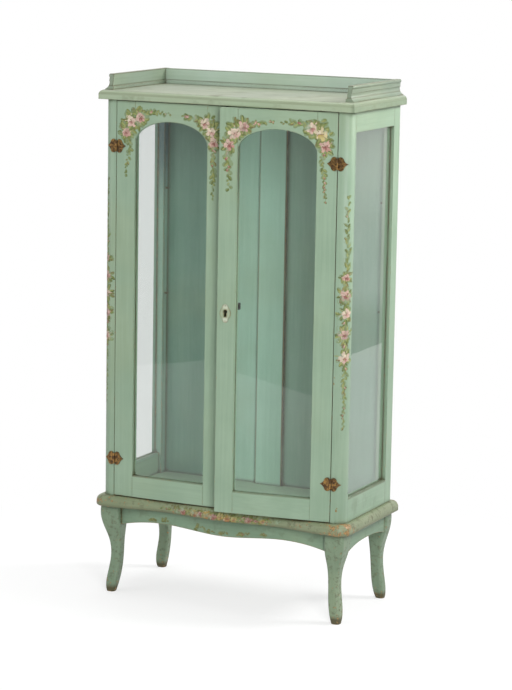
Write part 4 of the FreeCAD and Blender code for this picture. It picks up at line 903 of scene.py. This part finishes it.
# Places of the screws in a hinge leaf and sizes of the heads, in millimetres
SCREWS_IN_LEAF = ((8.5, 8.5), (8.5, -8.5), (15.0, 0.0))
HEAD_RADIUS, HEAD_TOP_RADIUS, HEAD_DEPTH, HEAD_RISE = 2.1, 1.302, 1.2, 0.35
SLOT_HALF_WIDTH, SLOT_DEPTH = 0.294, 0.4
NAIL_PLACES, NAIL_RADIUS, NAIL_TOP_RADIUS, NAIL_DEPTH, NAIL_RISE = (-16.5, 16.5), 1.3, 0.7, 1.0, 0.25
SAME_HEIGHT = 1e-4


def append_to(bm, part):
    """Moves one small mesh into a larger one."""
    bmesh.ops.recalc_face_normals(part, faces=part.faces[:])
    mesh = bpy.data.meshes.new("part")
    part.to_mesh(mesh)
    part.free()
    bm.from_mesh(mesh)
    bpy.data.meshes.remove(mesh)


def add_screw(bm, u, v, slot_angle):
    """Low conical head with a slot across it, drawn in the flat in millimetres."""
    head = bmesh.new()
    bmesh.ops.create_cone(head, cap_ends=True, segments=16, radius1=HEAD_RADIUS, radius2=HEAD_TOP_RADIUS,
                          depth=HEAD_DEPTH)
    bmesh.ops.translate(head, vec=(0, 0, HEAD_RISE), verts=head.verts[:])
    for side in (-1, 1):
        bmesh.ops.bisect_plane(head, geom=head.verts[:] + head.edges[:] + head.faces[:],
                               plane_co=(0, side * SLOT_HALF_WIDTH, 0), plane_no=(0, 1, 0))
    top = max(vert.co.z for vert in head.verts)
    slot = [face for face in head.faces if all(abs(vert.co.z - top) < SAME_HEIGHT for vert in face.verts)
            and abs(face.calc_center_median().y) < SLOT_HALF_WIDTH]
    sunk = bmesh.ops.extrude_face_region(head, geom=slot)["geom"]
    sunk = [part for part in sunk if isinstance(part, bmesh.types.BMVert)]
    bmesh.ops.translate(head, vec=(0, 0, -SLOT_DEPTH), verts=sunk)
    bmesh.ops.delete(head, geom=[face for face in slot if face.is_valid], context="FACES")
    bmesh.ops.transform(head, matrix=placed(u, v, slot_angle), verts=head.verts[:])
    append_to(bm, head)


def leaf_screws(bm, carrier, joint, side, turn=Matrix.Identity(4)):
    """Three screws in each of the two leaves of one node; side is the way the leaf points from its pin."""
    low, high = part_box(carrier)
    surface = on_front([carrier], x=joint["pos_m"][0], turn=turn)
    heads = bmesh.new()
    for height in (low.z + LEAF_HALF_HEIGHT, high.z - LEAF_HALF_HEIGHT):
        for out, up in SCREWS_IN_LEAF:
            add_screw(heads, side * out, height / MM + up, brush.uniform(0, math.pi))
    for vert in heads.verts:
        vert.co = surface(vert.co)
    append_to(bm, heads)


def make_screws():
    """Screws of the four hinges; the metal is returned for the nails."""
    brass = metal("screw_brass", srgb(110, 84, 52), srgb(176, 140, 90), roughness=0.5, grain=320.0)
    left, right = joints["left_door_hinge"], joints["right_door_hinge"]
    ajar = turned_about(right, RIGHT_AJAR)
    bm = bmesh.new()
    leaf_screws(bm, "hinge_door_leaves_left", left, 1)
    add_piece("screws_left_door", bm, brass, "left_door")
    bm = bmesh.new()
    leaf_screws(bm, "hinge_door_leaves_right", right, -1, ajar)
    add_piece("screws_right_door", bm, brass, "right_door")
    bm = bmesh.new()
    leaf_screws(bm, "hinge_post_leaves_left", left, -1)
    leaf_screws(bm, "hinge_post_leaves_right", right, 1)
    add_piece("screws_posts", bm, brass, "case")
    return brass


def make_plate_nails(brass):
    """Two small nails that hold the key plate."""
    low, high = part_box("escutcheon")
    middle = (low + high) / 2
    ajar = turned_about(joints["right_door_hinge"], RIGHT_AJAR)
    closed = turned_about(joints["right_door_hinge"], -RIGHT_AJAR) @ middle
    surface = on_front(["escutcheon"], x=closed.x, turn=ajar)
    bm = bmesh.new()
    for up in NAIL_PLACES:
        nail = bmesh.new()
        bmesh.ops.create_cone(nail, cap_ends=True, segments=12, radius1=NAIL_RADIUS,
                              radius2=NAIL_TOP_RADIUS, depth=NAIL_DEPTH)
        bmesh.ops.transform(nail, verts=nail.verts[:],
                            matrix=placed(0, middle.z / MM + up, height=NAIL_RISE))
        for vert in nail.verts:
            vert.co = surface(vert.co)
        append_to(bm, nail)
    add_piece("nails_key_plate", bm, brass, "right_door")


make_plate_nails(make_screws())


# Floor, light and camera

FLOOR_HALF = 5.0
# Edges of the floor sheet: a place on each, and the way out of the sheet
FLOOR_EDGES = (((-1.462, -2.78, 0), (-1.6, -1, 0)),
               ((-0.865, -3.361, 0), (1.06, -1, 0)),
               ((1.61, 0, 0), (1, 0, 0)))
# Distance from the cabinet over which the floor turns white
FLOOR_FADE = (0.5, 1.0)
# Foot, rise and depth of the wall behind, as parts of the direction of sight
WALL_FOOT_Z, WALL_RISE_Z, WALL_DEPTH_Y = (-0.16, -0.148), (-0.14, -0.09), (-0.1, 0.3)
ROOM, WALL = (0.12, 0.155, 0.14, 1.0), (1.1, 1.08, 1.05, 1.0)
# Camera: sensor and picture, with the focal length in pixels of the picture
SENSOR_WIDTH, PICTURE_HEIGHT, FOCAL_PIXELS = 36.0, 690.0, 2580.4266


def make_floor():
    """Pale sheet with a corner towards the front; far from the cabinet it is as white as the background."""
    bm = bmesh.new()
    bmesh.ops.create_grid(bm, x_segments=1, y_segments=1, size=FLOOR_HALF)
    for point, outward in FLOOR_EDGES:
        bmesh.ops.bisect_plane(bm, geom=bm.verts[:] + bm.edges[:] + bm.faces[:], plane_co=point,
                               plane_no=outward, clear_outer=True)
    mesh = bpy.data.meshes.new("floor")
    bm.to_mesh(mesh)
    bm.free()
    floor = bpy.data.objects.new("floor", mesh)
    bpy.context.scene.collection.objects.link(floor)
    material, tree, shader = new_material("pale_floor")
    shader.inputs["Base Color"].default_value = (0.45, 0.45, 0.45, 1.0)
    shader.inputs["Roughness"].default_value = 0.9
    shader.inputs["Specular IOR Level"].default_value = 0.0
    away = add_node(tree, "VectorMath", operation="LENGTH",
                    sockets={0: object_place(tree)}).outputs["Value"]
    glow = add_node(tree, "Emission", sockets={"Color": WHITE, "Strength": 0.65})
    near = add_node(tree, "AddShader", sockets={0: shader.outputs[0], 1: glow.outputs[0]})
    white = add_node(tree, "Emission", sockets={"Color": WHITE, "Strength": 1.0})
    both = add_node(tree, "MixShader", sockets={0: smooth_step(tree, away, *FLOOR_FADE), 1: near.outputs[0],
                                                2: white.outputs[0]})
    path = add_node(tree, "LightPath")
    seen = larger(tree, path.outputs["Is Camera Ray"], path.outputs["Is Glossy Ray"])
    seen = larger(tree, seen, path.outputs["Is Transmission Ray"])
    mix = add_node(tree, "MixShader", sockets={0: seen, 1: shader.outputs[0], 2: both.outputs[0]})
    tree.links.new(mix.outputs[0], tree.nodes["Material Output"].inputs["Surface"])
    mesh.materials.append(material)


def make_world():
    """White for the eye; for the light and for reflections, a dimmer room with a paler wall behind."""
    world = bpy.data.worlds.new("studio")
    bpy.context.scene.world = world
    world.use_nodes = True
    tree = world.node_tree
    light = tree.nodes["Background"]
    light.inputs["Color"].default_value = WHITE
    light.inputs["Strength"].default_value = 0.26
    white = add_node(tree, "Background", sockets={"Color": WHITE, "Strength": 1.0})
    direction = add_node(tree, "TexCoord").outputs["Generated"]
    sight = add_node(tree, "SeparateXYZ", sockets={0: direction}).outputs
    foot = times(tree, smooth_step(tree, sight["Z"], *WALL_FOOT_Z), 0.45)
    wall = smooth_step(tree, sight["Z"], *WALL_RISE_Z)
    wall = math_node(tree, "MULTIPLY_ADD", wall, 0.55, foot)
    wall = times(tree, wall, smooth_step(tree, sight["Y"], *WALL_DEPTH_Y))
    dim = mix_colour(tree, wall, ROOM, WALL)
    mirrored = add_node(tree, "Background", sockets={"Color": dim, "Strength": 1.0})
    path = add_node(tree, "LightPath")
    seen = larger(tree, path.outputs["Is Camera Ray"], path.outputs["Is Transmission Ray"])
    first = add_node(tree, "MixShader", sockets={0: path.outputs["Is Glossy Ray"], 1: light.outputs[0],
                                                 2: mirrored.outputs[0]})
    second = add_node(tree, "MixShader", sockets={0: seen, 1: first.outputs[0], 2: white.outputs[0]})
    tree.links.new(second.outputs[0], tree.nodes["World Output"].inputs["Surface"])


def soft_box(name, place, target, width, height, power, spread=180.0):
    """Rectangular lamp that looks at target; spread is the angle of its light in degrees."""
    data = bpy.data.lights.new(name, "AREA")
    data.shape = "RECTANGLE"
    data.size = width
    data.size_y = height
    data.energy = power
    data.spread = math.radians(spread)
    lamp = bpy.data.objects.new(name, data)
    bpy.context.scene.collection.objects.link(lamp)
    lamp.location = place
    lamp.rotation_mode = "QUATERNION"
    lamp.rotation_quaternion = (Vector(target) - Vector(place)).to_track_quat("-Z", "Y")


def make_camera(azimuth, elevation, roll, distance, target):
    """Camera that looks at target; the azimuth is counted from the front to the right."""
    data = bpy.data.cameras.new("camera")
    data.sensor_width = SENSOR_WIDTH
    data.lens = SENSOR_WIDTH * FOCAL_PIXELS / PICTURE_HEIGHT
    camera = bpy.data.objects.new("camera", data)
    bpy.context.scene.collection.objects.link(camera)
    turn, rise = math.radians(azimuth), math.radians(elevation)
    back = Vector((math.sin(turn) * math.cos(rise), -math.cos(turn) * math.cos(rise), math.sin(rise)))
    camera.location = Vector(target) + back * distance
    camera.rotation_mode = "QUATERNION"
    tilt = Quaternion((0, 0, 1), math.radians(roll))
    camera.rotation_quaternion = (-back).to_track_quat("-Z", "Y") @ tilt
    data.clip_end = 50.0
    bpy.context.scene.camera = camera


make_floor()
make_world()
soft_box("key", place=(1.95, -2.6, 1.6), target=(0.0, 0.0, 0.75), width=1.0, height=2.5, power=68.0)
soft_box("side", place=(1.9, 1.0, 2.1), target=(0.3, 0.2, 1.1), width=0.9, height=0.9, power=12.0,
         spread=90.0)
soft_box("fill", place=(-2.6, -2.3, 1.7), target=(0.0, 0.0, 0.7), width=2.2, height=2.2, power=27.0)
soft_box("top", place=(-0.3, 0.3, 3.4), target=(0.0, 0.1, 0.9), width=1.6, height=1.6, power=34.0)
make_camera(azimuth=25.6169, elevation=9.8406, roll=0.9842, distance=5.6732,
            target=(0.0241747, 0.0, 0.5723828))
bpy.context.scene.view_settings.view_transform = "Standard"
